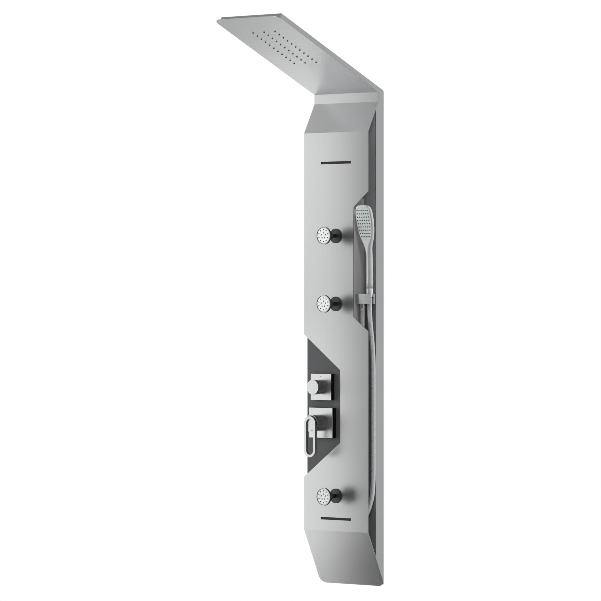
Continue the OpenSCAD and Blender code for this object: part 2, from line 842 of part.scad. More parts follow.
// Brass valve body with a mixing chamber below and a diverting chamber above
module valve_body() {
    color("goldenrod") difference() {
        union() {
            block(control_x - valve_half_w, control_x + valve_half_w, valve_back_d, valve_front_d,
                diverter_z - valve_drop, diverter_z + valve_top);
            block(control_x - valve_half_w, control_x + valve_half_w, cross_back_d, valve_front_d,
                mixer_z, diverter_z);
            block(control_x - cross_half_w, control_x + cross_half_w, cross_back_d, valve_front_d,
                mixer_z - cross_half_h, mixer_z + cross_half_h);
            rod_y(control_x, mixer_z, cross_back_d, chamber_front_d, mixer_chamber_r);
            rod_y(control_x, diverter_z, cross_back_d, chamber_front_d, diverter_chamber_r);
        }
        rod_y(control_x, mixer_z, mixer_bore_back, chamber_front_d + over, mixer_bore_r);
        rod_y(control_x, diverter_z, diverter_bore_back, chamber_front_d + over, diverter_bore_r);
        rod_z(control_x, cross_back_d + 2 * waterway_r, mixer_z, diverter_z, waterway_r);
        rod_z(control_x, riser_d, diverter_z, diverter_z + valve_top + over, waterway_r);
        rod_x(jet_pipe_d, diverter_z, control_x, control_x + valve_half_w + over, jet_waterway_r);
        rod_x(handset_pipe_d, diverter_z, control_x, control_x + valve_half_w + over, waterway_r);
        for (side = [-1, 1])
            rod_y(control_x + side * inlet_half_gap, mixer_z, cross_back_d - over,
                cross_back_d + 2 * waterway_r, waterway_r);
        rod_x(cross_back_d + 2 * waterway_r, mixer_z, control_x - inlet_half_gap,
            control_x + inlet_half_gap, waterway_r);
    }
}

module inlet_nipples() {
    color("silver") for (side = [-1, 1]) difference() {
        rod_y(control_x + side * inlet_half_gap, mixer_z, inlet_end_d, cross_back_d, inlet_r);
        rod_y(control_x + side * inlet_half_gap, mixer_z, inlet_end_d - over, cross_back_d + over,
            inlet_bore_r);
    }
}

check_valve_set = 2;
check_valve_l = 10;

module check_valves() {
    color("white") for (side = [-1, 1]) difference() {
        rod_y(control_x + side * inlet_half_gap, mixer_z, inlet_end_d + check_valve_set,
            inlet_end_d + check_valve_set + check_valve_l, inlet_bore_r - fit);
        rod_y(control_x + side * inlet_half_gap, mixer_z, inlet_end_d,
            inlet_end_d + check_valve_set + check_valve_l / 2, waterway_r);
    }
}

// A cartridge with a shoulder and a neck, bored for its stem
cartridge_l = 30;
stem_set = 5;

module cartridge(z, bore_r, neck_r, neck_end_d) {
    difference() {
        union() {
            rod_y(control_x, z, chamber_front_d - cartridge_l, chamber_front_d, bore_r - fit);
            rod_y(control_x, z, chamber_front_d, neck_end_d, neck_r);
        }
        rod_y(control_x, z, chamber_front_d - stem_set, neck_end_d + over, spindle_r + run);
    }
}

// A ring nut between a chamber and the housing
module ring_nut(z, r, neck_r) {
    difference() {
        rod_y(control_x, z, chamber_front_d, panel_d - housing_wall, r);
        rod_y(control_x, z, chamber_front_d - over, panel_d - housing_wall + over, neck_r + fit);
    }
}

module square_plate(z, side, thick, hole_r) {
    difference() {
        block(control_x - side / 2, control_x + side / 2, panel_d, panel_d + thick,
            z - side / 2, z + side / 2);
        rod_y(control_x, z, panel_d - over, panel_d + thick + over, hole_r);
    }
}

mixer_plate_d = panel_d + mixer_plate_t;
skirt_back_d = mixer_plate_d + run;
skirt_front_d = skirt_back_d + skirt_l;
lever_front_d = skirt_front_d + lever_out;
lever_back_d = lever_front_d - lever_t;
skirt_web_t = 4;
skirt_web_spare = 13.6;
skirt_web_d = lever_back_d - lever_r * sin(lever_lift) - skirt_web_spare - skirt_web_t;
lever_foot_z = mixer_z - lever_l;
pin_r = 1.5;
pin_d = lever_back_d + pin_r / 3;
pin_half_l = skirt_r - pin_r / 2;
lever_web_set = 5;
lever_rib_t = 3.5;
lever_rib_half_h = 5;
web_foot = 24.5;
lever_gap = 0.8;
spindle_out = 17;

module mixer_cartridge() {
    color("white") cartridge(mixer_z, mixer_bore_r, mixer_neck_r, mixer_plate_d - 2 * neck_gap);
}

module mixer_nut() {
    color("goldenrod") ring_nut(mixer_z, mixer_chamber_r - nut_inset, mixer_neck_r);
}

module mixer_plate() {
    color("gainsboro") square_plate(mixer_z, mixer_plate_w, mixer_plate_t, mixer_neck_r + neck_gap);
}

module mixer_spindle() {
    color("silver") rod_y(control_x, mixer_z, chamber_front_d - stem_set + run,
        skirt_web_d + spindle_out, spindle_r);
}

module mixer_skirt() {
    color("gainsboro") difference() {
        rod_y(control_x, mixer_z, skirt_back_d, skirt_front_d, skirt_r);
        rod_y(control_x, mixer_z, skirt_back_d - over, skirt_web_d, skirt_r - skirt_wall);
        rod_y(control_x, mixer_z, skirt_web_d + skirt_web_t, skirt_front_d + over, skirt_r - skirt_wall);
        rod_y(control_x, mixer_z, skirt_web_d - over, skirt_web_d + skirt_web_t + over, spindle_r + fit);
        block(control_x - lever_r - lever_gap, control_x + lever_r + lever_gap,
            lever_back_d - lever_gap, skirt_front_d + over, mixer_z - skirt_r - over, mixer_z);
        rod_x(pin_d, mixer_z, control_x - pin_half_l - fit, control_x + pin_half_l + fit, pin_r + fit);
    }
}

module lever_pin() {
    color("silver") rod_x(pin_d, mixer_z, control_x - pin_half_l, control_x + pin_half_l, pin_r);
}

// A loop outline as two round ends and the block between them
module stadium(r, from_d, to_d) {
    rod_y(control_x, mixer_z, from_d, to_d, r);
    rod_y(control_x, lever_foot_z, from_d, to_d, r);
    block(control_x - r, control_x + r, from_d, to_d, lever_foot_z, mixer_z);
}

lever_screw_x = 5;
lever_screw_up = 4;
lever_screw_r = 1.9;
lever_screw_set = 0.6;

module mixer_lever() {
    color("gainsboro") difference() {
        union() {
            difference() {
                stadium(lever_r, lever_back_d, lever_front_d);
                stadium(lever_r - lever_bar, lever_back_d - over, lever_front_d + over);
            }
            intersection() {
                stadium(lever_r - lever_bar / 2, lever_back_d, lever_front_d - lever_web_set);
                block(control_x - lever_r, control_x + lever_r, lever_back_d,
                    lever_front_d - lever_web_set, mixer_z - web_foot, mixer_z + lever_r);
            }
            block(control_x - lever_r + lever_bar, control_x + lever_r - lever_bar,
                lever_back_d - lever_rib_t, lever_back_d,
                mixer_z - lever_rib_half_h, mixer_z + lever_rib_half_h);
        }
        rod_x(pin_d, mixer_z, control_x - lever_r - over, control_x + lever_r + over, pin_r + run / 2);
        rod_y(control_x + lever_screw_x, mixer_z - web_foot + lever_screw_up, lever_back_d - over,
            lever_front_d, lever_screw_r + fit);
    }
}

module lever_screw() {
    color("black") rod_y(control_x + lever_screw_x, mixer_z - web_foot + lever_screw_up, lever_back_d,
        lever_front_d - lever_web_set - lever_screw_set, lever_screw_r);
}

// Diverter
diverter_plate_d = panel_d + diverter_plate_t;
knob_back_d = diverter_plate_d + run;
knob_front_d = knob_back_d + knob_l;
knob_wall = 3;
knob_face_t = 4;
hub_r = 8;
hub_set = 7;
stem_end_gap = 4;
grub_r = 1.8;
grub_back = 12;
mark_r = 1.6;
mark_up = 30.8;
mark_t = 1.5;

module diverter_cartridge() {
    color("white") cartridge(diverter_z, diverter_bore_r, diverter_neck_r, panel_d + 3 * neck_gap);
}

module diverter_nut() {
    color("goldenrod") ring_nut(diverter_z, diverter_chamber_r - nut_inset, diverter_neck_r);
}

module diverter_plate() {
    color("gainsboro") difference() {
        square_plate(diverter_z, diverter_plate_w, diverter_plate_t, diverter_neck_r + neck_gap);
        rod_y(control_x, diverter_z + mark_up, diverter_plate_d - mark_t, diverter_plate_d + over,
            mark_r + fit);
    }
}

module index_mark() {
    color("dimgray") rod_y(control_x, diverter_z + mark_up, diverter_plate_d - mark_t,
        diverter_plate_d + fit, mark_r);
}

module diverter_stem() {
    color("silver") rod_y(control_x, diverter_z, chamber_front_d - stem_set + run,
        knob_front_d - knob_face_t - stem_end_gap, spindle_r);
}

module diverter_knob() {
    color("gainsboro") difference() {
        rod_y(control_x, diverter_z, knob_back_d, knob_front_d, knob_r);
        difference() {
            rod_y(control_x, diverter_z, knob_back_d - over, knob_front_d - knob_face_t,
                knob_r - knob_wall);
            rod_y(control_x, diverter_z, knob_back_d + hub_set, knob_front_d, hub_r);
            block(control_x - hub_r / 2, control_x + hub_r / 2,
                knob_back_d + hub_set, knob_front_d - knob_face_t, diverter_z - knob_r, diverter_z);
        }
        rod_y(control_x, diverter_z, knob_back_d, knob_front_d - knob_face_t - stem_end_gap + fit,
            spindle_r + fit);
        rod_z(control_x, knob_back_d + grub_back, diverter_z - knob_r - over, diverter_z, grub_r + fit);
    }
}

module knob_grub_screw() {
    color("dimgray") rod_z(control_x, knob_back_d + grub_back, diverter_z - knob_r + grub_r,
        diverter_z - spindle_r - fit, grub_r);
}

// Body jets
jet_cup_r = jet_ball_r + run;
jet_cup_outer_r = jet_cup_r + jet_liner_t;
jet_socket_in_r = jet_cup_outer_r + run;
jet_neck_angle = asin(jet_neck_r / jet_ball_r);
jet_mouth_spare = 10.6;
jet_throat_spare = 14.6;
jet_mouth_angle = jet_neck_angle + jet_swing + jet_mouth_spare;
jet_throat_angle = jet_neck_angle + jet_swing + jet_throat_spare;
jet_arc_steps = 12;
jet_gap = 1.6;

// Points of an arc about the ball's centre, measured from the front, as radius and way forward
function jet_arc(r, from_angle, to_angle) = [
    for (s = [0:jet_arc_steps])
        let (angle = from_angle + (to_angle - from_angle) * s / jet_arc_steps)
        r * [sin(angle), cos(angle)]
];

// A solid turned about a jet's axis, from an outline about the ball's centre
module jet_turning(z, outline) {
    at(0, jet_ball_d, z) rotate([90, 0, 0]) rotate_extrude() polygon(outline);
}

module jet_nipple(z) {
    difference() {
        union() {
            rod_y(0, z, jet_boss_front_d - jet_tail_l, jet_boss_front_d, jet_tail_r);
            rod_y(0, z, jet_boss_front_d, face_d, jet_stem_r);
            rod_y(0, z, face_d, face_d + jet_flange_t, jet_flange_r);
            jet_turning(z, concat(
                [[0, face_d + jet_flange_t - jet_ball_d], [jet_neck_r, face_d + jet_flange_t - jet_ball_d]],
                backwards(jet_arc(jet_ball_r, 0, 180 - jet_neck_angle))
            ));
        }
        rod_y(0, z, jet_boss_front_d - jet_tail_l - over, jet_ball_d + jet_ball_r, jet_bore_r);
    }
}

module jet_nipples() {
    color("silver") for (z = [upper_jet_z, middle_jet_z, lower_jet_z]) jet_nipple(z);
}

backnut_r = 15;
backnut_h = 6;

module jet_backnuts() {
    color("goldenrod") for (z = [upper_jet_z, middle_jet_z, lower_jet_z]) difference() {
        at(0, face_d - sheet_t - backnut_h, z)
            rotate([90, 0, 0]) cylinder(r = backnut_r, h = backnut_h, $fn = 6);
        rod_y(0, z, face_d - sheet_t - backnut_h - over, face_d, jet_stem_r + fit);
    }
}

// Split liner round the ball, which turns to the left and right
module jet_seat(z) {
    half_h = jet_cup_outer_r * cos(jet_mouth_angle);
    inner_angle = acos(half_h / jet_cup_r);
    color("white") jet_turning(z, concat(
        jet_arc(jet_cup_outer_r, jet_mouth_angle, 180 - jet_mouth_angle),
        jet_arc(jet_cup_r, 180 - inner_angle, inner_angle)
    ));
}

// Socket and rim, which tip up and down on the liner
module jet_head(z) {
    mouth = jet_socket_in_r * cos(180 - jet_throat_angle);
    rim_back = jet_front_d - jet_rim - jet_ball_d;
    front = jet_front_d - jet_ball_d;
    floor_y = front - jet_face_t - jet_face_set - jet_gap;
    hole_r = jet_ball_r / 2;
    color("gainsboro") jet_turning(z, concat(
        [
            [jet_socket_r, mouth], [jet_socket_r, rim_back], [jet_r, rim_back], [jet_r, front],
            [jet_face_r, front], [jet_face_r, floor_y], [hole_r, floor_y]
        ],
        jet_arc(jet_socket_in_r, asin(hole_r / jet_socket_in_r), 180 - jet_throat_angle)
    ));
}

module jet_face(z) {
    face_front_d = jet_front_d - jet_face_set - jet_nozzle_h;
    color("whitesmoke") {
        rod_y(0, z, jet_front_d - jet_face_set - jet_face_t, face_front_d, jet_face_r - fit);
        for (ring = [[jet_outer_r, jet_outer_count], [jet_inner_r, jet_inner_count]], i = [1:ring[1]])
            rod_y(ring[0] * sin(360 * i / ring[1]), z + ring[0] * cos(360 * i / ring[1]),
                face_front_d, face_front_d + jet_nozzle_h, jet_nozzle_r);
    }
}

// Handset bracket, its arm and the outlet
module handset_bracket() {
    color("gainsboro") difference() {
        block(arm_end_x, handset_x + bracket_end, handset_d - bracket_back,
            handset_d + bracket_front, bracket_low_z, bracket_top_z);
        rod_z(handset_x, handset_d, bracket_low_z - over, bracket_top_z + over, cone_low_r + run);
        cone_z(handset_x, handset_d, seat_low_z, bracket_top_z, cone_low_r + run, cone_top_r + run);
        block(handset_x, handset_x + bracket_end + over, handset_d - slot_half,
            handset_d + slot_half, bracket_low_z - over, bracket_top_z + over);
    }
}

module bracket_arm() {
    color("gray") difference() {
        union() {
            block(niche_in_x, arm_end_x, arm_back_d, arm_front_d, bracket_low_z, bracket_top_z);
            rod_z(outlet_x, outlet_d, bracket_low_z - outlet_stub_l, bracket_low_z, outlet_stub_r);
        }
        rod_x(handset_d, arm_z, niche_in_x - over, outlet_x, waterway_r);
        rod_z(outlet_x, outlet_d, bracket_low_z - outlet_stub_l - over, arm_z, water_bore_r);
    }
}

module outlet_nut() {
    color("gainsboro") difference() {
        rod_z(outlet_x, outlet_d, bracket_low_z - outlet_nut_h, bracket_low_z, outlet_nut_r);
        rod_z(outlet_x, outlet_d, bracket_low_z - outlet_stub_l, bracket_low_z + over,
            outlet_stub_r + fit);
        rod_z(outlet_x, outlet_d, bracket_low_z - outlet_nut_h - over, bracket_low_z, water_bore_r);
    }
}

module hose_cone_nut() {
    color("gainsboro") difference() {
        cone_z(handset_x, handset_d, seat_low_z, bracket_top_z, cone_low_r, cone_top_r);
        rod_z(handset_x, handset_d, bracket_top_z - stub_l - washer_t, bracket_top_z + over, stub_r + run);
        rod_z(handset_x, handset_d, seat_low_z - over, bracket_top_z, water_bore_r);
    }
}

module hose_washer() {
    color("black") difference() {
        rod_z(handset_x, handset_d, bracket_top_z - stub_l - washer_t, bracket_top_z - stub_l, stub_r);
        rod_z(handset_x, handset_d, bracket_top_z - stub_l - washer_t - over,
            bracket_top_z - stub_l + over, water_bore_r);
    }
}

// Hose: its bends are [place across from the handset's axis, depth, height], chosen by hand
// between the straight ends under the handset's nut and under the nut of the bracket's arm
hose_bends = [
    [0.5, 55.5, 775], [2, 51.5, 735], [3.5, 47.5, 690],
    [4.5, 45.8, 640], [4.5, 45.5, 560], [4.5, 45.5, 460], [4.5, 45.5, 360],
    [4, 46, 300], [0, 48, 253], [-13, 51, 212], [-40, 54, 176],
    [-73, 56, 149], [-109, 57, 139], [-143, 58, 147], [-168, 58, 170], [-180, 58, 204],
    [-175, 58, 243], [-156, 58, 280], [-130, 58, 315], [-103, 58, 351], [-81, 58, 389],
    [-66, 58, 432], [-57, 58, 475], [-49, 58, 525], [-42, 58, 580], [-35, 58, 640],
    [-29, 58, 700], [-26, 58, 750]
];
hose_start_l = 33;
hose_end_l = 27;
hose_route = concat(
    [[handset_x, handset_d, seat_low_z], [handset_x, handset_d, seat_low_z - hose_start_l]],
    [for (p = hose_bends) [handset_x + p[0] * across_share, p[1], p[2]]],
    [
        [outlet_x, outlet_d, bracket_low_z - outlet_nut_h - hose_end_l],
        [outlet_x, outlet_d, bracket_low_z - outlet_nut_h]
    ]
);
hose_ring_gap = 34;
hose_sides = 10;

function at_route(i) = hose_route[max(0, min(i, len(hose_route) - 1))];

// A point and a direction on the smooth curve through the route
function on_curve(i, t) =
    let (a = at_route(i - 1), b = at_route(i), c = at_route(i + 1), e = at_route(i + 2))
    (2 * b + (c - a) * t + (2 * a - 5 * b + 4 * c - e) * t * t + (3 * b - a - 3 * c + e) * t * t * t) / 2;

function curve_way(i, t) =
    let (a = at_route(i - 1), b = at_route(i), c = at_route(i + 1), e = at_route(i + 2))
    unit((c - a) + 2 * (2 * a - 5 * b + 4 * c - e) * t + 3 * (3 * b - a - 3 * c + e) * t * t);

function in_frame(p) = [p[0], -p[1], p[2]];

hose_stations = [
    for (i = [0:len(hose_route) - 2])
        let (steps = max(1, round(norm(hose_route[i + 1] - hose_route[i]) / hose_ring_gap)))
        for (s = [0:steps - 1]) [in_frame(on_curve(i, s / steps)), in_frame(curve_way(i, s / steps))],
    [in_frame(at_route(len(hose_route))), in_frame(curve_way(len(hose_route) - 2, 1))]
];

// A closed tube with flat ends through stations of a point and a direction
module tube_along(stations, r, sides) {
    points = [
        for (s = stations)
            let (u = unit(cross(s[1], [0, 1, 0])), v = cross(s[1], u))
            for (k = [0:sides - 1]) s[0] + r * (u * cos(360 * k / sides) + v * sin(360 * k / sides))
    ];
    count = len(stations);
    faces = [
        for (k = [1:sides - 2]) [0, k, k + 1],
        for (i = [0:count - 2], k = [0:sides - 1])
            let (a = i * sides + k, b = i * sides + (k + 1) % sides)
            each [[a, a + sides, b], [b, a + sides, b + sides]],
        for (k = [1:sides - 2]) [(count - 1) * sides, (count - 1) * sides + k + 1, (count - 1) * sides + k]
    ];
    polyhedron(points, faces);
}

module shower_hose() {
    color("silver") tube_along(hose_stations, hose_r, hose_sides);
}

// Handset: each row gives the height, half width, front and back as shares, and how square it
// is. In the head the front lies on the leaning face.
handset_shares = [
    [0, 0.348, 0.279, 1, 0],
    [0.28, 0.335, 0.274, 0.96, 0],
    [0.4, 0.32, 0.29, 0.78, 0],
    [0.46, 0.345, 0.33, 0.5, 0.2],
    [0.51, 0.42, 0.38, 0.17, 0.45],
    [0.555, 0.55, 0.42, -0.15, 0.75],
    [0.595, 0.69, 0, -0.42, 1],
    [0.64, 0.81, 0, -0.66, 1],
    [0.7, 0.925, 0, -0.98, 1],
    [0.797, 1, 0, -1.45, 1],
    [0.87, 0.985, 0, -1.8, 1],
    [0.925, 0.945, 0, -2.05, 1],
    [0.957, 0.875, 0, -2.22, 1],
    [0.98, 0.76, 0, -2.46, 1],
    [1, 0.52, 0, -2.85, 1]
];
handset_sides = 28;
square_bulge = 0.25;
square_power = 0.5;
face_share = 0.86;
face_first = 6;
face_last = 12;

function face_at(share) = head_front - (1 - share) * handset_h * tan(face_lean);
function signed_power(v, p) = sign(v) * pow(abs(v), p);

// One ring of the handset: a circle in the handle, and a rounded box with a flat front in the head
function handset_ring(row) =
    let (
        front = max(row[2] * head_front, face_at(row[0])),
        back = -row[3] * handle_r,
        middle = (front + back) / 2,
        deep = (front - back) / 2,
        power = 1 - square_power * row[4]
    )
    [
        for (k = [0:handset_sides - 1])
            let (
                t = 360 * k / handset_sides,
                out = deep * (1 + square_bulge * row[4]) * signed_power(sin(t), power)
            )
            [
                handset_x + row[1] * head_half_w * signed_power(cos(t), power),
                -handset_d - max(back, min(front, middle + out)),
                seam_z + row[0] * handset_h
            ]
    ];

module handset_body() {
    sides = handset_sides;
    count = len(handset_shares);
    points = [for (row = handset_shares) each handset_ring(row)];
    faces = [
        for (k = [1:sides - 2]) [0, k, k + 1],
        for (i = [0:count - 2], k = [0:sides - 1])
            let (a = i * sides + k, b = i * sides + (k + 1) % sides)
            each [[a, a + sides, b], [b, a + sides, b + sides]],
        for (k = [1:sides - 2]) [(count - 1) * sides, (count - 1) * sides + k + 1, (count - 1) * sides + k]
    ];
    color("silver") polyhedron(points, faces);
}

module handset_collar() {
    color("silver") difference() {
        union() {
            rod_z(handset_x, handset_d, bracket_top_z + run, seam_z, handle_r);
            rod_z(handset_x, handset_d, bracket_top_z - stub_l + run, bracket_top_z + run, stub_r);
        }
        rod_z(handset_x, handset_d, bracket_top_z - stub_l, seam_z - over, water_bore_r);
    }
}

face_rows = [for (i = [face_first:face_last]) handset_shares[i]];

function face_up(share) = (share - 1) * handset_h / cos(face_lean);

// Solids drawn on the leaning face: X across, Z up along it, and forward out of it from a height
module on_face(height) {
    at(handset_x, handset_d + head_front, seam_z + handset_h)
        rotate([face_lean, 0, 0]) translate([0, -height, 0]) rotate([90, 0, 0]) children();
}

module handset_face() {
    color("lightgray") on_face(settle) linear_extrude(face_plate_t) polygon(concat(
        [for (row = face_rows) [face_share * row[1] * head_half_w, face_up(row[0])]],
        [for (row = backwards(face_rows)) [-face_share * row[1] * head_half_w, face_up(row[0])]]
    ));
}

spray_rows = 8;
spray_columns = 6;
spray_high_share = 0.935;
spray_low_share = 0.622;

// Half width of the head at a share of its height, between the two rows of the table around it
function half_width_at(share) =
    let (i = max([for (k = [0:len(handset_shares) - 2]) handset_shares[k][0] <= share ? k : 0]))
    head_half_w * (handset_shares[i][1] + (handset_shares[i + 1][1] - handset_shares[i][1])
        * (share - handset_shares[i][0]) / (handset_shares[i + 1][0] - handset_shares[i][0]));

spray_edge_share = 0.68;

module handset_nozzles() {
    color("dimgray") for (i = [0:spray_rows]) {
        share = spray_low_share + i * (spray_high_share - spray_low_share) / spray_rows;
        reach = spray_edge_share * half_width_at(share);
        for (k = [0:spray_columns - 1])
            on_face(settle + face_plate_t)
                translate([reach * (2 * k / (spray_columns - 1) - 1), face_up(share), 0])
                    cylinder(r = handset_nozzle_r, h = handset_nozzle_h, $fn = 16);
    }
}

rear_tray();
side_rails();
core_cover();
core_screws();
front_panel();
sheet_brackets();
slot_inserts();
niche_liner();
control_housing();
head_spacers();
rain_chamber();
rain_nozzles();
riser_pipe();
riser_elbow();
head_pipe();
jet_pipe();
handset_pipe();
pipe_nuts();
valve_body();
inlet_nipples();
check_valves();
mixer_cartridge();
mixer_nut();
mixer_plate();
mixer_spindle();
mixer_skirt();
lever_pin();
mixer_lever();
lever_screw();
diverter_cartridge();
diverter_nut();
diverter_plate();
index_mark();
diverter_stem();
diverter_knob();
knob_grub_screw();
jet_nipples();
jet_backnuts();
jet_seat(upper_jet_z);  // upper_jet_seat
jet_head(upper_jet_z);  // upper_jet_head
jet_face(upper_jet_z);  // upper_jet_face
jet_seat(middle_jet_z);  // middle_jet_seat
jet_head(middle_jet_z);  // middle_jet_head
jet_face(middle_jet_z);  // middle_jet_face
jet_seat(lower_jet_z);  // lower_jet_seat
jet_head(lower_jet_z);  // lower_jet_head
jet_face(lower_jet_z);  // lower_jet_face
handset_bracket();
bracket_arm();
outlet_nut();
shower_hose();
hose_cone_nut();
hose_washer();
handset_collar();
handset_body();
handset_face();
handset_nozzles();
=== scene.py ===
# %% [markdown]
# # Shower panel column
#
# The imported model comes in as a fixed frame, and this script dresses it: it sets up the camera
# and the light, lays the hose, rounds the edges of the sheet metal and the fittings, sets the
# soft nozzles in place and gives every piece a material. Lengths are in metres. X runs to the
# right, Z runs up and the wall is the plane Y = 0.
#
# A new piece then only has to say which body it rides on to move the right way.

# %% Load the frame
import json
import math

import bmesh
import bpy
from mathutils import Matrix, Vector


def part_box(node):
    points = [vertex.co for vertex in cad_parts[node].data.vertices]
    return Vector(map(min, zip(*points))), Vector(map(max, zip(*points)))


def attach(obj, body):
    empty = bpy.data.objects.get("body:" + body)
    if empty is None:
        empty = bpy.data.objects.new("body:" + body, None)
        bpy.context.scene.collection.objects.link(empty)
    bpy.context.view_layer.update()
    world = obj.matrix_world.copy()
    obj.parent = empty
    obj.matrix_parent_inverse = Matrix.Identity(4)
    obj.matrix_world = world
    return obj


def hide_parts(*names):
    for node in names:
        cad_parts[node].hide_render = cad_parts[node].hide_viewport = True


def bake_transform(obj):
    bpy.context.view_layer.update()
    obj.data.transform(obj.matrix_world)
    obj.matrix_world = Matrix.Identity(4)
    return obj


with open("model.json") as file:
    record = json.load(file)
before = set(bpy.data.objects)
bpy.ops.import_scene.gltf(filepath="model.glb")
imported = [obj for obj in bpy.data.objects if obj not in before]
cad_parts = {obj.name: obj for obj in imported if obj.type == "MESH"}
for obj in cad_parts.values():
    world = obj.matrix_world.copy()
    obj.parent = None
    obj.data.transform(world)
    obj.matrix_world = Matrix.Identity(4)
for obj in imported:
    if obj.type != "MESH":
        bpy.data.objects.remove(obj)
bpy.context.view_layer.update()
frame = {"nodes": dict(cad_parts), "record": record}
slot_of = {part["node"]: part["material_slot"] for part in frame["record"]["subparts"]}
body_of = {node: body for body, nodes in frame["record"]["behaviour"]["bodies"].items() for node in nodes}

# %% [markdown]
# ## Camera
#
# The column is shown from the front and the right, with hardly any perspective. A camera can be
# placed by eye, or worked out from edges whose size is known on the object and whose place is
# known in the picture. These numbers come from the second way, because it also settles the
# proportions of the part: about ten metres away, at the height of the column's middle, looking
# level.

# %% Set up the camera
CAMERA_TURN = 0.683428
CAMERA_PLACE = (6.385935, -8.091628, 0.833811)
FOCAL_PIXELS = 3485.298
PICTURE_PIXELS = 601
SENSOR_WIDTH = 36.0
VIEW_DEPTH = 60
QUARTER_TURN = math.pi / 2


def put_in_scene(thing):
    """Links an object to the scene, because a new object is in no scene yet."""
    bpy.context.scene.collection.objects.link(thing)
    return thing


camera_data = bpy.data.cameras.new("camera")
camera_data.sensor_width = SENSOR_WIDTH
camera_data.lens = FOCAL_PIXELS / PICTURE_PIXELS * SENSOR_WIDTH
camera_data.clip_end = VIEW_DEPTH
camera = put_in_scene(bpy.data.objects.new("camera", camera_data))
camera.location = CAMERA_PLACE
camera.rotation_euler = (QUARTER_TURN, 0, CAMERA_TURN)
bpy.context.scene.camera = camera
print("camera:", round(math.dist(CAMERA_PLACE, (0, 0, CAMERA_PLACE[2])), 2), "m away, lens",
      round(camera_data.lens, 1), "mm")

# %% [markdown]
# ## Material building blocks
#
# Sheet steel, paint, plastic and rubber can all start from one Principled shader, and what
# sets them apart is a fine pattern. An image could give that pattern, but it would have seams
# and one resolution. Noise from the object's own coordinates has neither: the grain keeps its
# place and its size from every side, and it moves with the piece. The class below wires it up.

# %% Build the material helper
NOISE_LOW = 0.3
NOISE_HIGH = 0.7


def shade(colour, factor):
    """A colour made lighter or darker by a factor."""
    return tuple(min(1.0, channel * factor) for channel in colour)


class Finish:
    """A material under construction: one Principled shader and the nodes that feed it."""

    def __init__(self, name, colour, metallic, roughness, **sockets):
        self.colour = colour
        self.roughness = roughness
        self.material = bpy.data.materials.new(name)
        self.material.use_nodes = True
        self.material.diffuse_color = (*colour, 1)
        self.nodes = self.material.node_tree.nodes
        self.links = self.material.node_tree.links
        self.shader = self.nodes["Principled BSDF"]
        self.shader.inputs["Base Color"].default_value = (*colour, 1)
        self.shader.inputs["Metallic"].default_value = metallic
        self.shader.inputs["Roughness"].default_value = roughness
        for key, value in sockets.items():
            self.shader.inputs[key.replace("_", " ")].default_value = value

    def noise(self, scale, detail, stretch=(1, 1, 1)):
        """A noise value from 0 to 1. Scale is in features per metre, stretched along the axes."""
        place = self.nodes.new("ShaderNodeTexCoord")
        mapping = self.nodes.new("ShaderNodeMapping")
        mapping.inputs["Scale"].default_value = stretch
        texture = self.nodes.new("ShaderNodeTexNoise")
        texture.inputs["Scale"].default_value = scale
        texture.inputs["Detail"].default_value = detail
        self.links.new(place.outputs["Object"], mapping.inputs["Vector"])
        self.links.new(mapping.outputs["Vector"], texture.inputs["Vector"])
        return texture.outputs["Fac"]

    def spread(self, value, low, high):
        """The middle of a noise value's range, carried over to another range."""
        spread = self.nodes.new("ShaderNodeMapRange")
        spread.inputs["From Min"].default_value = NOISE_LOW
        spread.inputs["From Max"].default_value = NOISE_HIGH
        spread.inputs["To Min"].default_value = low
        spread.inputs["To Max"].default_value = high
        self.links.new(value, spread.inputs["Value"])
        return spread.outputs["Result"]

    def product(self, first, second):
        """Two values multiplied."""
        times = self.nodes.new("ShaderNodeMath")
        times.operation = "MULTIPLY"
        self.links.new(first, times.inputs[0])
        self.links.new(second, times.inputs[1])
        return times.outputs["Value"]

    def tint(self, value, darker, lighter):
        """Varies the colour by a value, between two shares of its brightness."""
        ramp = self.nodes.new("ShaderNodeValToRGB")
        start, end = ramp.color_ramp.elements
        start.position = NOISE_LOW
        start.color = (*shade(self.colour, darker), 1)
        end.position = NOISE_HIGH
        end.color = (*shade(self.colour, lighter), 1)
        self.links.new(value, ramp.inputs["Fac"])
        self.links.new(ramp.outputs["Color"], self.shader.inputs["Base Color"])

    def polish(self, value, smoother, rougher):
        """Varies the roughness by a value, between two shares of it."""
        varied = self.spread(value, self.roughness * smoother, self.roughness * rougher)
        self.links.new(varied, self.shader.inputs["Roughness"])

    def relief(self, value, depth, strength):
        """Raises the surface by a value, up to a depth in metres."""
        bump = self.nodes.new("ShaderNodeBump")
        bump.inputs["Distance"].default_value = depth
        bump.inputs["Strength"].default_value = strength
        self.links.new(value, bump.inputs["Height"])
        self.links.new(bump.outputs["Normal"], self.shader.inputs["Normal"])


# %% [markdown]
# ## Brushed sheet
#
# The head, the front sheet and the tray are folded from brushed stainless steel. The brush
# leaves scratches too fine to model, so a noise that is stretched along the sheet stands for
# them, in the tone, the roughness and a very low relief. The grain runs along the column and on
# along the head, so it varies across the sheet alone. Handling leaves faint cloudy marks.


# %% Brush the sheet steel
def brushed_metal(name, colour, roughness):
    """Sheet metal with a fine grain along it."""
    finish = Finish(name, colour, metallic=1.0, roughness=roughness, Anisotropic=0.35)
    grain = finish.noise(scale=900, detail=6, stretch=(1, 0.004, 0.004))
    clouds = finish.spread(finish.noise(scale=5, detail=3), low=0.96, high=1.0)
    finish.tint(finish.product(grain, clouds), darker=0.96, lighter=1.02)
    finish.polish(grain, smoother=0.94, rougher=1.06)
    finish.relief(grain, depth=0.00001, strength=0.3)
    return finish.material


MATERIALS = {
    "brushed_steel": brushed_metal("sheet_steel", (0.74, 0.745, 0.75), roughness=0.34),
    # The tray steel is the sheet's stainless steel made darker: painted shade on the tray's side walls,
    # which face away from the light.
    "tray_steel": brushed_metal("tray_steel", (0.39, 0.395, 0.40), roughness=0.40),
}
print("brushed slots:", ", ".join(MATERIALS))


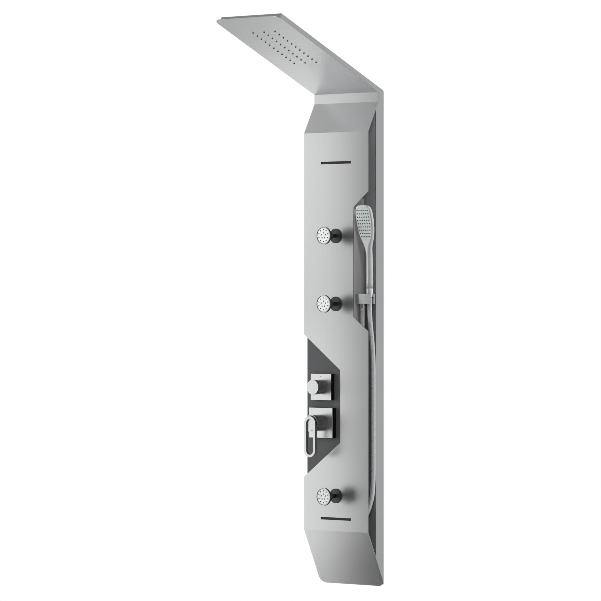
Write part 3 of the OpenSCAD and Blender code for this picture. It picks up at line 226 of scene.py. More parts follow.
# %% [markdown]
# ## Plated and machined metal
#
# The plates, the knob and the lever are plated castings with a satin sheen. The pipes, nuts and
# valves inside are bare drawn or turned metal, which is duller and shows its tool marks. Both
# are metals with a slow noise for wipe marks or bloom, which is lighter to render than marks
# cut into the mesh.


# %% Plate and turn the fittings
def satin_metal(name, colour, roughness=0.26):
    """Plated metal with a satin sheen, faint wipe marks and a very slight waviness."""
    finish = Finish(name, colour, metallic=1.0, roughness=roughness)
    marks = finish.noise(scale=60, detail=6, stretch=(1, 1, 0.35))
    finish.tint(marks, darker=0.96, lighter=1.02)
    finish.polish(marks, smoother=0.85, rougher=1.2)
    finish.relief(finish.noise(scale=24, detail=2), depth=0.00002, strength=0.3)
    return finish.material


def machined_metal(name, colour, roughness):
    """Bare turned or drawn metal with tool marks and a dull bloom."""
    finish = Finish(name, colour, metallic=1.0, roughness=roughness)
    marks = finish.noise(scale=700, detail=5, stretch=(1, 0.1, 1))
    bloom = finish.noise(scale=35, detail=5)
    finish.tint(bloom, darker=0.78, lighter=1.08)
    finish.polish(bloom, smoother=0.75, rougher=1.5)
    finish.relief(marks, depth=0.00002, strength=0.4)
    return finish.material


MATERIALS |= {
    "chrome": satin_metal("satin_plate", (0.75, 0.755, 0.76)),
    "zinc_plate": machined_metal("zinc_plate", (0.50, 0.51, 0.53), roughness=0.34),
    "brass": machined_metal("brass", (0.74, 0.56, 0.28), roughness=0.28),
    "copper": machined_metal("copper", (0.76, 0.43, 0.29), roughness=0.26),
}
print("metal slots so far:", len(MATERIALS))


# %% [markdown]
# ## Paint
#
# The covers behind the front sheet have powder paint, whose beads melt into a fine orange peel.
# A displacement could give that peel, but it would need millions of faces. A small bump does.


# %% Paint the covers
def powder_paint(name, colour, roughness=0.5):
    """Powder paint: a fine orange peel with a dusty upper tone."""
    finish = Finish(name, colour, metallic=0.0, roughness=roughness, Specular_IOR_Level=0.45)
    peel = finish.noise(scale=420, detail=3)
    finish.tint(finish.noise(scale=9, detail=5), darker=0.9, lighter=1.12)
    finish.polish(peel, smoother=0.85, rougher=1.15)
    finish.relief(peel, depth=0.00006, strength=0.5)
    return finish.material


MATERIALS |= {
    "dark_cover": powder_paint("dark_paint", (0.15, 0.152, 0.155)),
    "grey_paint": powder_paint("grey_paint", (0.36, 0.36, 0.365), roughness=0.42),
}
print("slots with the paints:", len(MATERIALS))


# %% [markdown]
# ## Plastics
#
# Mould makers etch a grain into dark trim and leave pale faces smooth. The handset's silver is
# a lacquer with flakes under a clear coat. One function for each keeps their sliders apart.


# %% Mould the plastics
def grained_plastic(name, colour, roughness=0.5, grain=1500):
    """Moulded plastic with an etched grain."""
    finish = Finish(name, colour, metallic=0.0, roughness=roughness)
    etched = finish.noise(scale=grain, detail=2)
    finish.tint(finish.noise(scale=12, detail=3), darker=0.94, lighter=1.06)
    finish.polish(etched, smoother=0.9, rougher=1.15)
    finish.relief(etched, depth=0.00005, strength=0.4)
    return finish.material


def smooth_plastic(name, colour):
    """Smooth moulded plastic with a thin clear gloss and slight sink marks."""
    finish = Finish(name, colour, metallic=0.0, roughness=0.25, Coat_Weight=0.25, Coat_Roughness=0.12)
    tone = finish.noise(scale=18, detail=3)
    finish.tint(tone, darker=0.96, lighter=1.04)
    finish.polish(finish.noise(scale=130, detail=4), smoother=0.8, rougher=1.25)
    finish.relief(tone, depth=0.00008, strength=0.25)
    return finish.material


def silver_lacquer(name, colour, roughness=0.32):
    """Silver lacquer on plastic: fine flakes under a satin coat."""
    finish = Finish(name, colour, metallic=0.72, roughness=roughness, Coat_Weight=0.35, Coat_Roughness=0.2)
    flakes = finish.noise(scale=2600, detail=2)
    finish.tint(flakes, darker=0.93, lighter=1.07)
    finish.polish(finish.noise(scale=50, detail=4), smoother=0.85, rougher=1.2)
    finish.relief(flakes, depth=0.00001, strength=0.3)
    return finish.material


MATERIALS |= {
    "dark_panel": grained_plastic("dark_panel", (0.085, 0.087, 0.09), roughness=0.45),
    "black_plastic": grained_plastic("black_plastic", (0.022, 0.022, 0.023)),
    "white_plastic": grained_plastic("white_plastic", (0.80, 0.80, 0.78), roughness=0.4, grain=900),
    "jet_face_white": smooth_plastic("pale_face", (0.84, 0.85, 0.85)),
    "silver_plastic": silver_lacquer("silver_lacquer", (0.80, 0.81, 0.82)),
    "face_plastic": silver_lacquer("face_lacquer", (0.84, 0.90, 0.865), roughness=0.38),
}
print("slots with the plastics:", len(MATERIALS))


# %% [markdown]
# ## Rubber and hose skin
#
# The nozzles and seals are soft rubber with a dry bloom. The hose has a plastic skin over a
# helical weave, which could be modelled wire by wire. At the size it is seen, a band pattern
# along the hose's own length and round it gives the same look with a light mesh.


# %% Mix the rubber and the hose skin
WEAVE_TURNS = 2.0
WEAVE_BANDS_PER_METRE = 330.0


def soft_rubber(name, colour):
    """Soft rubber with a dry bloom."""
    finish = Finish(name, colour, metallic=0.0, roughness=0.6, Sheen_Weight=0.2)
    bloom = finish.noise(scale=260, detail=5)
    finish.tint(bloom, darker=0.82, lighter=1.18)
    finish.polish(bloom, smoother=0.85, rougher=1.15)
    finish.relief(bloom, depth=0.00004, strength=0.4)
    return finish.material


def hose_skin(name, colour):
    """Silver hose skin: a fine helical weave shows through a smooth clear cover."""
    finish = Finish(name, colour, metallic=0.55, roughness=0.3, Coat_Weight=0.5, Coat_Roughness=0.15)
    place = finish.nodes.new("ShaderNodeTexCoord")
    mapping = finish.nodes.new("ShaderNodeMapping")
    mapping.inputs["Scale"].default_value = (WEAVE_TURNS, WEAVE_BANDS_PER_METRE, 0)
    wave = finish.nodes.new("ShaderNodeTexWave")
    wave.wave_type = "BANDS"
    wave.bands_direction = "DIAGONAL"
    wave.inputs["Scale"].default_value = 1.0
    finish.links.new(place.outputs["UV"], mapping.inputs["Vector"])
    finish.links.new(mapping.outputs["Vector"], wave.inputs["Vector"])
    finish.tint(wave.outputs["Fac"], darker=0.86, lighter=1.08)
    finish.polish(finish.noise(scale=90, detail=4), smoother=0.8, rougher=1.267)
    finish.relief(wave.outputs["Fac"], depth=0.00012, strength=0.5)
    return finish.material


MATERIALS |= {
    "nozzle_rubber": soft_rubber("nozzle_rubber", (0.055, 0.057, 0.06)),
    "seal_rubber": soft_rubber("seal_rubber", (0.03, 0.03, 0.03)),
    "hose_silver": hose_skin("hose_skin", (0.64, 0.65, 0.66)),
}
print("slots in all:", len(MATERIALS))


# %% [markdown]
# ## One material for each slot
#
# The record names a slot for every solid, such as brass or copper. A material could be made
# anew for each piece, but one for each slot keeps pieces of the same stock alike, and one
# number changes them all. The pieces inside get theirs too, because the views from behind and
# the open side show some of them.

# %% Give every solid its material
for node, thing in frame["nodes"].items():
    thing.data.materials.clear()
    thing.data.materials.append(MATERIALS[slot_of[node]])
print("materials:", len(MATERIALS), "for", len(slot_of), "solids")


# %% [markdown]
# ## Making pieces
#
# The solids are exact, but they have knife edges and no soft forms, so some are replaced by
# finer pieces. A piece could be parented by hand, but these helpers do it the same way each
# time: a mesh at the origin that rides on the body of the node that it stands for.


# %% Write the helpers for pieces
WELD = 0.000002


def welded(node):
    """A node's solid, with its loose triangles joined at their corners."""
    bm = bmesh.new()
    bm.from_mesh(frame["nodes"][node].data)
    bmesh.ops.remove_doubles(bm, verts=bm.verts[:], dist=WELD)
    return bm


def plain_mesh(bm, name):
    """A mesh with the faces as they are."""
    mesh = bpy.data.meshes.new(name)
    bm.to_mesh(mesh)
    bm.free()
    return mesh


def outward_mesh(bm, name):
    """A mesh with all its faces turned outwards."""
    bmesh.ops.recalc_face_normals(bm, faces=bm.faces[:])
    return plain_mesh(bm, name)


def baked(holder, name):
    """The mesh that an object's modifiers make, as a plain mesh. The object goes."""
    bpy.context.view_layer.update()
    evaluated = holder.evaluated_get(bpy.context.evaluated_depsgraph_get())
    mesh = bpy.data.meshes.new_from_object(evaluated)
    mesh.name = name
    bpy.data.objects.remove(holder)
    return mesh


def new_piece(name, mesh, material, node, rides=True):
    """A named piece in the place of a node, with the material given or the mesh's own."""
    thing = put_in_scene(bpy.data.objects.new(name, mesh))
    if material is not None:
        mesh.materials.clear()
        mesh.materials.append(material)
    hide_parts(node)
    if rides:
        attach(thing, body_of[node])
    return thing


# %% [markdown]
# ## Painted shade on the sides
#
# The controls and the jets are bright in front and dark round their sides, which mirror the
# dark side of the room. The room could be lit for each of them, but its boards would then spoil
# the sheet. So those faces get a second, darker material: a painted dark reflection and shade.
# The cut edges of the front sheet get the same painted shade, and the jets' bases get a painted
# shadow. The way that a face looks decides which of the two materials it gets.

# %% Choose the painted shade
# Darker materials that paint in shade: a painted dark reflection on the plates' edges, and painted dark
# reflection and shade on the barrels, the lever, the bracket and the sheet's cut edges.
PAINTED_SHADE_EDGE = satin_metal("painted_shade_edge", (0.045, 0.046, 0.047), roughness=0.36)
PAINTED_SHADE_BARREL = satin_metal("painted_shade_barrel", (0.34, 0.343, 0.347), roughness=0.38)
# Painted shadow: the sides of the jets' heads are darkened as painted shade, and the jets' bases all over
# as the shadow round each jet on the sheet.
PAINTED_SHADOW_BASE = satin_metal("painted_shadow_base", (0.10, 0.102, 0.105), roughness=0.42)
PAINTED_SHADE_SIDES = {
    "mixer_plate": PAINTED_SHADE_EDGE,
    "diverter_plate": PAINTED_SHADE_EDGE,
    "mixer_skirt": PAINTED_SHADE_BARREL,
    "diverter_knob": PAINTED_SHADE_BARREL,
    "mixer_lever": PAINTED_SHADE_BARREL,
    "handset_bracket": PAINTED_SHADE_BARREL,
    # The front sheet's cut edges: painted shade.
    "front_panel": PAINTED_SHADE_BARREL,
    # The jets: painted shade on the heads' sides, and a painted shadow on the bases.
    "upper_jet_head": PAINTED_SHADOW_BASE,
    "middle_jet_head": PAINTED_SHADOW_BASE,
    "lower_jet_head": PAINTED_SHADOW_BASE,
    "jet_nipples": PAINTED_SHADOW_BASE,
}
FRONT_FACING = -0.3
CUT_EDGE_FACING = 0.5


def gets_painted_shade(node, normal):
    """Whether a face of a node with painted shade on its sides gets the darker material."""
    if node == "front_panel":
        return abs(normal.x) > CUT_EDGE_FACING
    return node == "jet_nipples" or normal.y > FRONT_FACING


print("pieces with darker sides:", len(PAINTED_SHADE_SIDES))


# %% [markdown]
# ## Rounded edges
#
# Pressed sheet, castings and mouldings have no knife edges: a thin line of light runs along
# each. Edges can be rounded in the mesh or faked in the shader. A bevel modifier on a cleaned
# copy is chosen, because it is true geometry and weighted normals keep the flat faces flat.

# %% Round the edges
FLAT_ANGLE = math.radians(0.6)
EDGE_ANGLE = math.radians(24)
EDGE_STEPS = 2
EDGE_RADII = {
    "front_panel": 0.0006,
    "rear_tray": 0.0005,
    "core_cover": 0.0004,
    "control_housing": 0.0006,
    "niche_liner": 0.0003,
    "mixer_plate": 0.0012,
    "mixer_skirt": 0.0004,
    "mixer_lever": 0.0014,
    "diverter_plate": 0.0012,
    "diverter_knob": 0.0012,
    "upper_jet_head": 0.0007,
    "middle_jet_head": 0.0007,
    "lower_jet_head": 0.0007,
    "jet_nipples": 0.0008,
    "handset_bracket": 0.0008,
    "bracket_arm": 0.0008,
    "outlet_nut": 0.0007,
    "hose_cone_nut": 0.0005,
    "handset_collar": 0.0006,
    "handset_face": 0.0005,
}


def rounded_mesh(node, radius):
    """A node's solid with its flat faces whole and its edges rounded."""
    bm = welded(node)
    bmesh.ops.dissolve_limit(bm, angle_limit=FLAT_ANGLE, verts=bm.verts[:], edges=bm.edges[:])
    mesh = outward_mesh(bm, node + "_edges")
    mesh.shade_smooth()
    holder = put_in_scene(bpy.data.objects.new(node + "_holder", mesh))
    rounding = holder.modifiers.new("rounding", "BEVEL")
    rounding.width = radius
    rounding.segments = EDGE_STEPS
    rounding.limit_method = "ANGLE"
    rounding.angle_limit = EDGE_ANGLE
    rounding.use_clamp_overlap = True
    rounding.miter_outer = "MITER_ARC"
    weights = holder.modifiers.new("weights", "WEIGHTED_NORMAL")
    weights.keep_sharp = True
    return baked(holder, node + "_soft_mesh")


def softened(node, radius):
    """A copy of a node's solid with rounded edges and, where the node has it, painted shade on its sides.
    """
    piece = new_piece(node + "_soft", rounded_mesh(node, radius), MATERIALS[slot_of[node]], node)
    # Faces that get painted shade take the second, darker material.
    if node in PAINTED_SHADE_SIDES:
        piece.data.materials.append(PAINTED_SHADE_SIDES[node])
        for face in piece.data.polygons:
            face.material_index = int(gets_painted_shade(node, face.normal))
    return piece


soft_faces = sum(len(softened(node, radius).data.polygons) for node, radius in EDGE_RADII.items())
print("rounded copies:", len(EDGE_RADII), "with", soft_faces, "faces")


# %% [markdown]
# ## Hose
#
# The hose leaves the nut under the bracket, hangs down behind the front sheet, turns in one
# wide bend and rises to the nut under the handset. A curve object with a round bevel could
# draw it, but then its ends and its length would be out of hand. Here the points are the ones
# that the solid follows, each with its X, its depth in front of the wall and its height. A
# smooth curve runs through them all.

# %% Lay the hose's route
HOSE_ROUTE = [
    (0.104, 0.057, 0.843), (0.104, 0.057, 0.810), (0.1045, 0.0555, 0.775), (0.106, 0.0515, 0.735),
    (0.1075, 0.0475, 0.690), (0.1085, 0.0458, 0.640), (0.1085, 0.0455, 0.560), (0.1085, 0.0455, 0.460),
    (0.1085, 0.0455, 0.360), (0.108, 0.046, 0.300), (0.104, 0.048, 0.253), (0.091, 0.051, 0.212),
    (0.064, 0.054, 0.176), (0.031, 0.056, 0.149), (-0.005, 0.057, 0.139), (-0.039, 0.058, 0.147),
    (-0.064, 0.058, 0.170), (-0.076, 0.058, 0.204), (-0.071, 0.058, 0.243), (-0.052, 0.058, 0.280),
    (-0.026, 0.058, 0.315), (0.001, 0.058, 0.351), (0.023, 0.058, 0.389), (0.038, 0.058, 0.432),
    (0.047, 0.058, 0.475), (0.055, 0.058, 0.525), (0.062, 0.058, 0.580), (0.069, 0.058, 0.640),
    (0.075, 0.058, 0.700), (0.078, 0.058, 0.750), (0.079, 0.058, 0.785), (0.079, 0.058, 0.812),
]
HOSE_STEP = 0.004


def curve_points(route, step):
    """Points and directions on the smooth curve through a route."""
    points = [Vector((x, -depth, z)) for x, depth, z in route]
    last = len(points) - 1
    line = []
    for i in range(last):
        a, b = points[max(i - 1, 0)], points[i]
        c, e = points[i + 1], points[min(i + 2, last)]
        slope = c - a
        bend = 2 * a - 5 * b + 4 * c - e
        twist = 3 * b - a - 3 * c + e
        count = max(2, round((c - b).length / step))
        for s in range(count + (i == last - 1)):
            t = s / count
            place = (2 * b + slope * t + bend * t**2 + twist * t**3) / 2
            way = slope + 2 * bend * t + 3 * twist * t**2
            line.append((place, way.normalized()))
    return line


hose_line = curve_points(HOSE_ROUTE, HOSE_STEP)
drawn = sum((b[0] - a[0]).length for a, b in zip(hose_line, hose_line[1:]))
print("hose:", round(drawn, 3), "m along its middle, in", len(hose_line), "points")


# %% [markdown]
# ## Round walls
#
# The hose, the nozzles and the jets' discs are all round. A ready-made cylinder has one radius
# and one direction, so rings of corners are set one after the other and joined by a wall of
# four-sided faces. The helpers below serve all three.


# %% Write the helpers for round walls
RIGHT = Vector((1, 0, 0))
BACK = Vector((0, 1, 0))
UP = Vector((0, 0, 1))


def turns(count):
    """Angles that part a full turn evenly."""
    return [2 * math.pi * k / count for k in range(count)]


def ring(bm, centre, radius, first, second, count):
    """Corners on a circle round a centre, in the plane of two directions."""
    return [
        bm.verts.new(centre + radius * (math.cos(t) * first + math.sin(t) * second))
        for t in turns(count)
    ]


def wall(bm, rings):
    """Smooth faces between the rings, each with the numbers of its ring and of its side."""
    made = []
    for i, (low, high) in enumerate(zip(rings, rings[1:])):
        for k in range(len(low)):
            n = (k + 1) % len(low)
            face = bm.faces.new((low[k], low[n], high[n], high[k]))
            face.smooth = True
            made.append((face, i, k))
    return made


# %% [markdown]
# ## Hose tube
#
# The tube's ends are closed and sit in their nuts. Its pattern follows the hose, so each corner
# gets a place on the unrolled skin: round it and along it in metres. The handset can lift, but
# the tube rides on no body, so it stays where it is laid.

# %% Make the hose
HOSE_DIAMETER = 0.014
HOSE_SIDES = 24


def tube_mesh(line, radius, sides, name):
    """A closed round tube along points and directions, with its length as the second UV axis."""
    bm = bmesh.new()
    layer = bm.loops.layers.uv.new("hose")
    rings, lengths = [], []
    travelled = 0.0
    for i, (place, way) in enumerate(line):
        if i:
            travelled += (place - line[i - 1][0]).length
        across = way.cross(BACK).normalized()
        rings.append(ring(bm, place, radius, across, way.cross(across), sides))
        lengths.append(travelled)
    for face, i, k in wall(bm, rings):
        corners = ((k, i), (k + 1, i), (k + 1, i + 1), (k, i + 1))
        for loop, (side, height) in zip(face.loops, corners):
            loop[layer].uv = (side / sides, lengths[height])
    bm.faces.new(rings[0])
    bm.faces.new(rings[-1])
    return outward_mesh(bm, name)


hose_mesh = tube_mesh(hose_line, HOSE_DIAMETER / 2, HOSE_SIDES, "hose_mesh")
hose = new_piece("hose", hose_mesh, MATERIALS["hose_silver"], "shower_hose", rides=False)
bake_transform(hose)
print("hose tube:", len(hose_mesh.polygons), "faces")


# %% [markdown]
# ## Handset
#
# The handset is one hollow moulding: a round handle that widens into a flat, leaning head.
# Sculpting could shape it, but the solid already gives good rows to work from. With its
# triangles joined back into rows, a subdivision surface over them gives the soft form. Its
# right side gets a darker grey lacquer, which is painted shade on the side away from the light.

# %% Shape the handset
# A darker copy of the silver lacquer, as painted shade for the faces turned to the right.
HANDSET_PAINTED_SHADE = silver_lacquer("painted_shade_lacquer", (0.62, 0.625, 0.63), roughness=0.42)
PAINTED_SHADE_FACING = 0.35
ANY_ANGLE = math.pi
SMOOTHING_LEVELS = 2


def faces_at(bm, level):
    """The faces that lie flat at a height."""
    return [f for f in bm.faces if all(abs(v.co.z - level) < WELD for v in f.verts)]


def handset_rows():
    """The handset's solid in rows of four-sided faces, with a firm lower rim."""
    bm = welded("handset_body")
    top = max(v.co.z for v in bm.verts)
    low = min(v.co.z for v in bm.verts)
    for level in (top, low):
        bmesh.ops.dissolve_faces(bm, faces=faces_at(bm, level))
    triangles = [f for f in bm.faces if len(f.verts) == 3]
    bmesh.ops.join_triangles(
        bm, faces=triangles, angle_face_threshold=ANY_ANGLE, angle_shape_threshold=ANY_ANGLE
    )
    crease = bm.edges.layers.float.new("crease_edge")
    for face in faces_at(bm, low):
        for edge in face.edges:
            edge[crease] = 1
    return outward_mesh(bm, "handset_rows")


def handset_body():
    """The handset's moulded body, with painted shade on its right side."""
    holder = put_in_scene(bpy.data.objects.new("handset_holder", handset_rows()))
    smooth = holder.modifiers.new("smooth", "SUBSURF")
    smooth.levels = SMOOTHING_LEVELS
    smooth.render_levels = SMOOTHING_LEVELS
    mesh = baked(holder, "handset_mesh")
    mesh.shade_smooth()
    shell = new_piece("handset_shell", mesh, MATERIALS["silver_plastic"], "handset_body")
    # The faces turned to the right take the darker lacquer: painted shade on the side away from the light.
    mesh.materials.append(HANDSET_PAINTED_SHADE)
    for face in mesh.polygons:
        face.material_index = int(face.normal.x > PAINTED_SHADE_FACING)
    return shell


print("handset:", len(handset_body().data.polygons), "faces")


# %% [markdown]
# ## One nozzle
#
# One nozzle is a short rubber teat with a rounded lip and a hole, which a thumb can rub free of
# lime. A cylinder would do from afar, but it has no lip to catch the light. So the teat's
# outline is given as shares of its radius and height, and turned about its axis.

# %% Shape one nozzle
TEAT_SHARES = [
    (1.0, 0.0), (0.96, 0.35), (0.88, 0.72), (0.78, 0.92),
    (0.62, 1.0), (0.46, 0.96), (0.36, 0.84), (0.3, 0.5),
]
TEAT_HOLE_SHARE = 0.45
TEAT_SIDES = 20


def nozzle_mesh(radius, height, name):
    """A rubber teat that points down the negative Z axis, with its root at the origin."""
    bm = bmesh.new()
    rings = [
        ring(bm, -out * height * UP, share * radius, RIGHT, BACK, TEAT_SIDES)
        for share, out in TEAT_SHARES
    ]
    hole = bm.verts.new(-TEAT_HOLE_SHARE * height * UP)
    wall(bm, rings)
    for k in range(TEAT_SIDES):
        bm.faces.new((rings[-1][k], rings[-1][(k + 1) % TEAT_SIDES], hole)).smooth = True
    bm.faces.new(rings[0])
    return outward_mesh(bm, name)


# %% [markdown]
# ## Nozzles on points
#
# There are many nozzles of the same kind. An array modifier only fills straight rows, so
# geometry nodes set a copy on every point of a pattern. Their inputs are the points, the one
# nozzle, its turn and its material, and the result is kept as a plain mesh.


# %% Build the node tree
def stud_group():
    """Geometry nodes that set a copy of a stud on every point."""
    group = bpy.data.node_groups.new("studs_on_points", "GeometryNodeTree")
    inputs = {"Points": "Geometry", "Stud": "Object", "Turn": "Vector", "Material": "Material"}
    for name, kind in inputs.items():
        group.interface.new_socket(name=name, in_out="INPUT", socket_type="NodeSocket" + kind)
    group.interface.new_socket(name="Studs", in_out="OUTPUT", socket_type="NodeSocketGeometry")
    start = group.nodes.new("NodeGroupInput")
    stud = group.nodes.new("GeometryNodeObjectInfo")
    turn = group.nodes.new("FunctionNodeEulerToRotation")
    place = group.nodes.new("GeometryNodeInstanceOnPoints")
    real = group.nodes.new("GeometryNodeRealizeInstances")
    paint = group.nodes.new("GeometryNodeSetMaterial")
    end = group.nodes.new("NodeGroupOutput")
    link = group.links.new
    link(start.outputs["Stud"], stud.inputs["Object"])
    link(start.outputs["Turn"], turn.inputs["Euler"])
    link(start.outputs["Points"], place.inputs["Points"])
    link(stud.outputs["Geometry"], place.inputs["Instance"])
    link(turn.outputs["Rotation"], place.inputs["Rotation"])
    link(place.outputs["Instances"], real.inputs["Geometry"])
    link(real.outputs["Geometry"], paint.inputs["Geometry"])
    link(start.outputs["Material"], paint.inputs["Material"])
    link(paint.outputs["Geometry"], end.inputs["Studs"])
    return group


STUDS = stud_group()
print("node tree:", STUDS.name, "with", len(STUDS.nodes), "nodes")


# %% [markdown]
# ## Using the node tree
#
# A modifier carries the tree on an object whose mesh is only points. Its inputs could be set by
# name in the window, but in a script each is set by its socket's identifier. The solids
# already have the nozzles' places, so each solid's centre can be taken as a point.


# %% Write the helpers for nozzles
SORTING_DIGITS = 5


def studs(name, points, turn, radius, height, node):
    """Nozzles on a pattern of points, as one plain piece."""
    one = nozzle_mesh(radius, height, name + "_one")
    stud = put_in_scene(bpy.data.objects.new(name + "_one", one))
    cloud = bpy.data.meshes.new(name + "_points")
    cloud.from_pydata(points, [], [])
    holder = put_in_scene(bpy.data.objects.new(name + "_holder", cloud))
    pattern = holder.modifiers.new("pattern", "NODES")
    pattern.node_group = STUDS
    values = {"Stud": stud, "Turn": turn, "Material": MATERIALS["nozzle_rubber"]}
    for item in STUDS.interface.items_tree:
        if item.in_out == "INPUT" and item.name in values:
            pattern[item.identifier] = values[item.name]
    holder.update_tag()
    mesh = baked(holder, name + "_mesh")
    bpy.data.objects.remove(stud)
    return new_piece(name, mesh, None, node)


def node_centres(node):
    """The centre of each separate solid in a node, sorted by height."""
    bm = welded(node)
    left = set(bm.verts)
    centres = []
    while left:
        reached = {left.pop()}
        stack = list(reached)
        while stack:
            for edge in stack.pop().link_edges:
                for v in edge.verts:
                    if v in left:
                        left.remove(v)
                        reached.add(v)
                        stack.append(v)
        low = Vector([min(v.co[i] for v in reached) for i in range(3)])
        high = Vector([max(v.co[i] for v in reached) for i in range(3)])
        centres.append((low + high) / 2)
    bm.free()
    return sorted(centres, key=lambda c: (round(c.z, SORTING_DIGITS), round(c.x, SORTING_DIGITS)))


# %% [markdown]
# ## Rain nozzles
#
# The rain nozzles stand square to the head's sheet, which slopes. Their places could be worked
# out again, but the solids' centres have them already, so no nozzle can drift from its hole.

# %% Set the rain nozzles
HEAD_ANGLE = math.radians(22.67)
RAIN_NOZZLE_RADIUS = 0.0024
RAIN_NOZZLE_LENGTH = 0.004

head_out = Vector((0, -math.sin(HEAD_ANGLE), -math.cos(HEAD_ANGLE)))
rain_points = [centre - head_out * (RAIN_NOZZLE_LENGTH / 2) for centre in node_centres("rain_nozzles")]
rain_turn = (-HEAD_ANGLE, 0, 0)
studs("rain_teats", rain_points, rain_turn, RAIN_NOZZLE_RADIUS, RAIN_NOZZLE_LENGTH, "rain_nozzles")
print("rain nozzles:", len(rain_points))

# %% [markdown]
# ## Handset nozzles
#
# The handset's nozzles are smaller and stand square to its leaning face. They are made in the
# same way as the rain nozzles, because only the sizes and the turn are different.

# %% Set the handset nozzles
HANDSET_NOZZLE_RADIUS = 0.0018
HANDSET_NOZZLE_OUT = 0.0014
HANDSET_LEAN = math.radians(12)

spray_out = Vector((0, -math.cos(HANDSET_LEAN), -math.sin(HANDSET_LEAN)))
spray_points = [centre - spray_out * (HANDSET_NOZZLE_OUT / 2) for centre in node_centres("handset_nozzles")]
spray_turn = (HANDSET_LEAN - QUARTER_TURN, 0, 0)
studs("handset_teats", spray_points, spray_turn,
      HANDSET_NOZZLE_RADIUS, HANDSET_NOZZLE_OUT, "handset_nozzles")
print("handset nozzles:", len(spray_points))


# %% [markdown]
# ## Jet faces
#
# Each jet has a pale disc with a shallow ring, and two rings of small dark nozzles. The disc
# could be carved from a cylinder, but a spun outline is the short way to a round face with
# steps. The disc's section is given as shares of its radius and thickness and turned about the
# jet's axis.

# %% Make the jets' faces
JETS = ("upper", "middle", "lower")
DISC_LEVEL = 0.62
JET_DISC_SHARES = [
    (0.2, DISC_LEVEL), (0.24, 0.56), (0.42, 0.56), (0.46, DISC_LEVEL),
    (0.86, DISC_LEVEL), (0.93, 0.58), (0.985, 0.46), (1.0, 0.3), (1.0, 0.0),
]
DISC_THICKENING = 1.18
DISC_SIDES = 96
SMOOTH_ANGLE = math.radians(40)
JET_NOZZLE_RADIUS = 0.0017
JET_NOZZLE_OUT = 0.0014
JET_RINGS = ((0.0174, 10), (0.008, 5))


def jet_disc(node, middle, radius, thickness):
    """A jet's pale disc, with its back round a middle point."""
    bm = bmesh.new()
    rings = [
        ring(bm, middle - out * thickness * BACK, share * radius, RIGHT, UP, DISC_SIDES)
        for share, out in JET_DISC_SHARES
    ]
    wall(bm, rings)
    bm.faces.new(rings[0])
    bm.faces.new(rings[-1])
    mesh = outward_mesh(bm, node + "_disc")
    mesh.shade_smooth()
    mesh.set_sharp_from_angle(angle=SMOOTH_ANGLE)
    new_piece(node + "_disc", mesh, MATERIALS["jet_face_white"], node)


def jet_face(node):
    """A jet's disc and its nozzles."""
    low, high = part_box(node)
    middle = (low + high) / 2
    middle.y = high.y
    thickness = (high.y - low.y) * DISC_THICKENING
    jet_disc(node, middle, (high.x - low.x) / 2, thickness)
    points = [
        middle - DISC_LEVEL * thickness * BACK + radius * (math.sin(t) * RIGHT + math.cos(t) * UP)
        for radius, count in JET_RINGS
        for t in turns(count)
    ]
    teats = studs(node + "_teats", points, (-QUARTER_TURN, 0, 0), JET_NOZZLE_RADIUS, JET_NOZZLE_OUT, node)
    print(node, "nozzles:", len(points))


for jet in JETS:
    jet_face(jet + "_jet_face")


# %% [markdown]
# ## Floor
#
# The column hangs on no wall in the picture, so the floor lies well under it and only shows
# from above. A plane would do, but a disc leaves no corner in view.

# %% Lay the floor
FLOOR_CENTRE = (0, -0.3, -0.35)
FLOOR_RADIUS = 2.4
FLOOR_SIDES = 128
FLOOR_COLOUR = (0.82, 0.82, 0.82)


def floor():
    """A round pale floor."""
    bm = bmesh.new()
    place = Matrix.Translation(FLOOR_CENTRE)
    bmesh.ops.create_circle(bm, cap_ends=True, segments=FLOOR_SIDES, radius=FLOOR_RADIUS, matrix=place)
    mesh = plain_mesh(bm, "floor")
    finish = Finish("floor", FLOOR_COLOUR, metallic=0.0, roughness=0.7)
    finish.tint(finish.noise(scale=2, detail=4), darker=0.976, lighter=1.024)
    mesh.materials.append(finish.material)
    put_in_scene(bpy.data.objects.new("floor", mesh))


floor()
print("floor:", FLOOR_RADIUS, "m wide to each side at a height of", FLOOR_CENTRE[2], "m")

# %% [markdown]
# ## World
#
# A white room could be built out of walls. The world shader does the same without them: the
# camera and every mirror-like surface see plain white, and the light that falls on matt
# surfaces comes a little more from the left.

# %% Build the studio
BRIGHT_SIDE = (-0.75, -0.66, 0.0)
DULL_STRENGTH = 0.32
BRIGHT_STRENGTH = 0.60
WHITE = (1, 1, 1, 1)


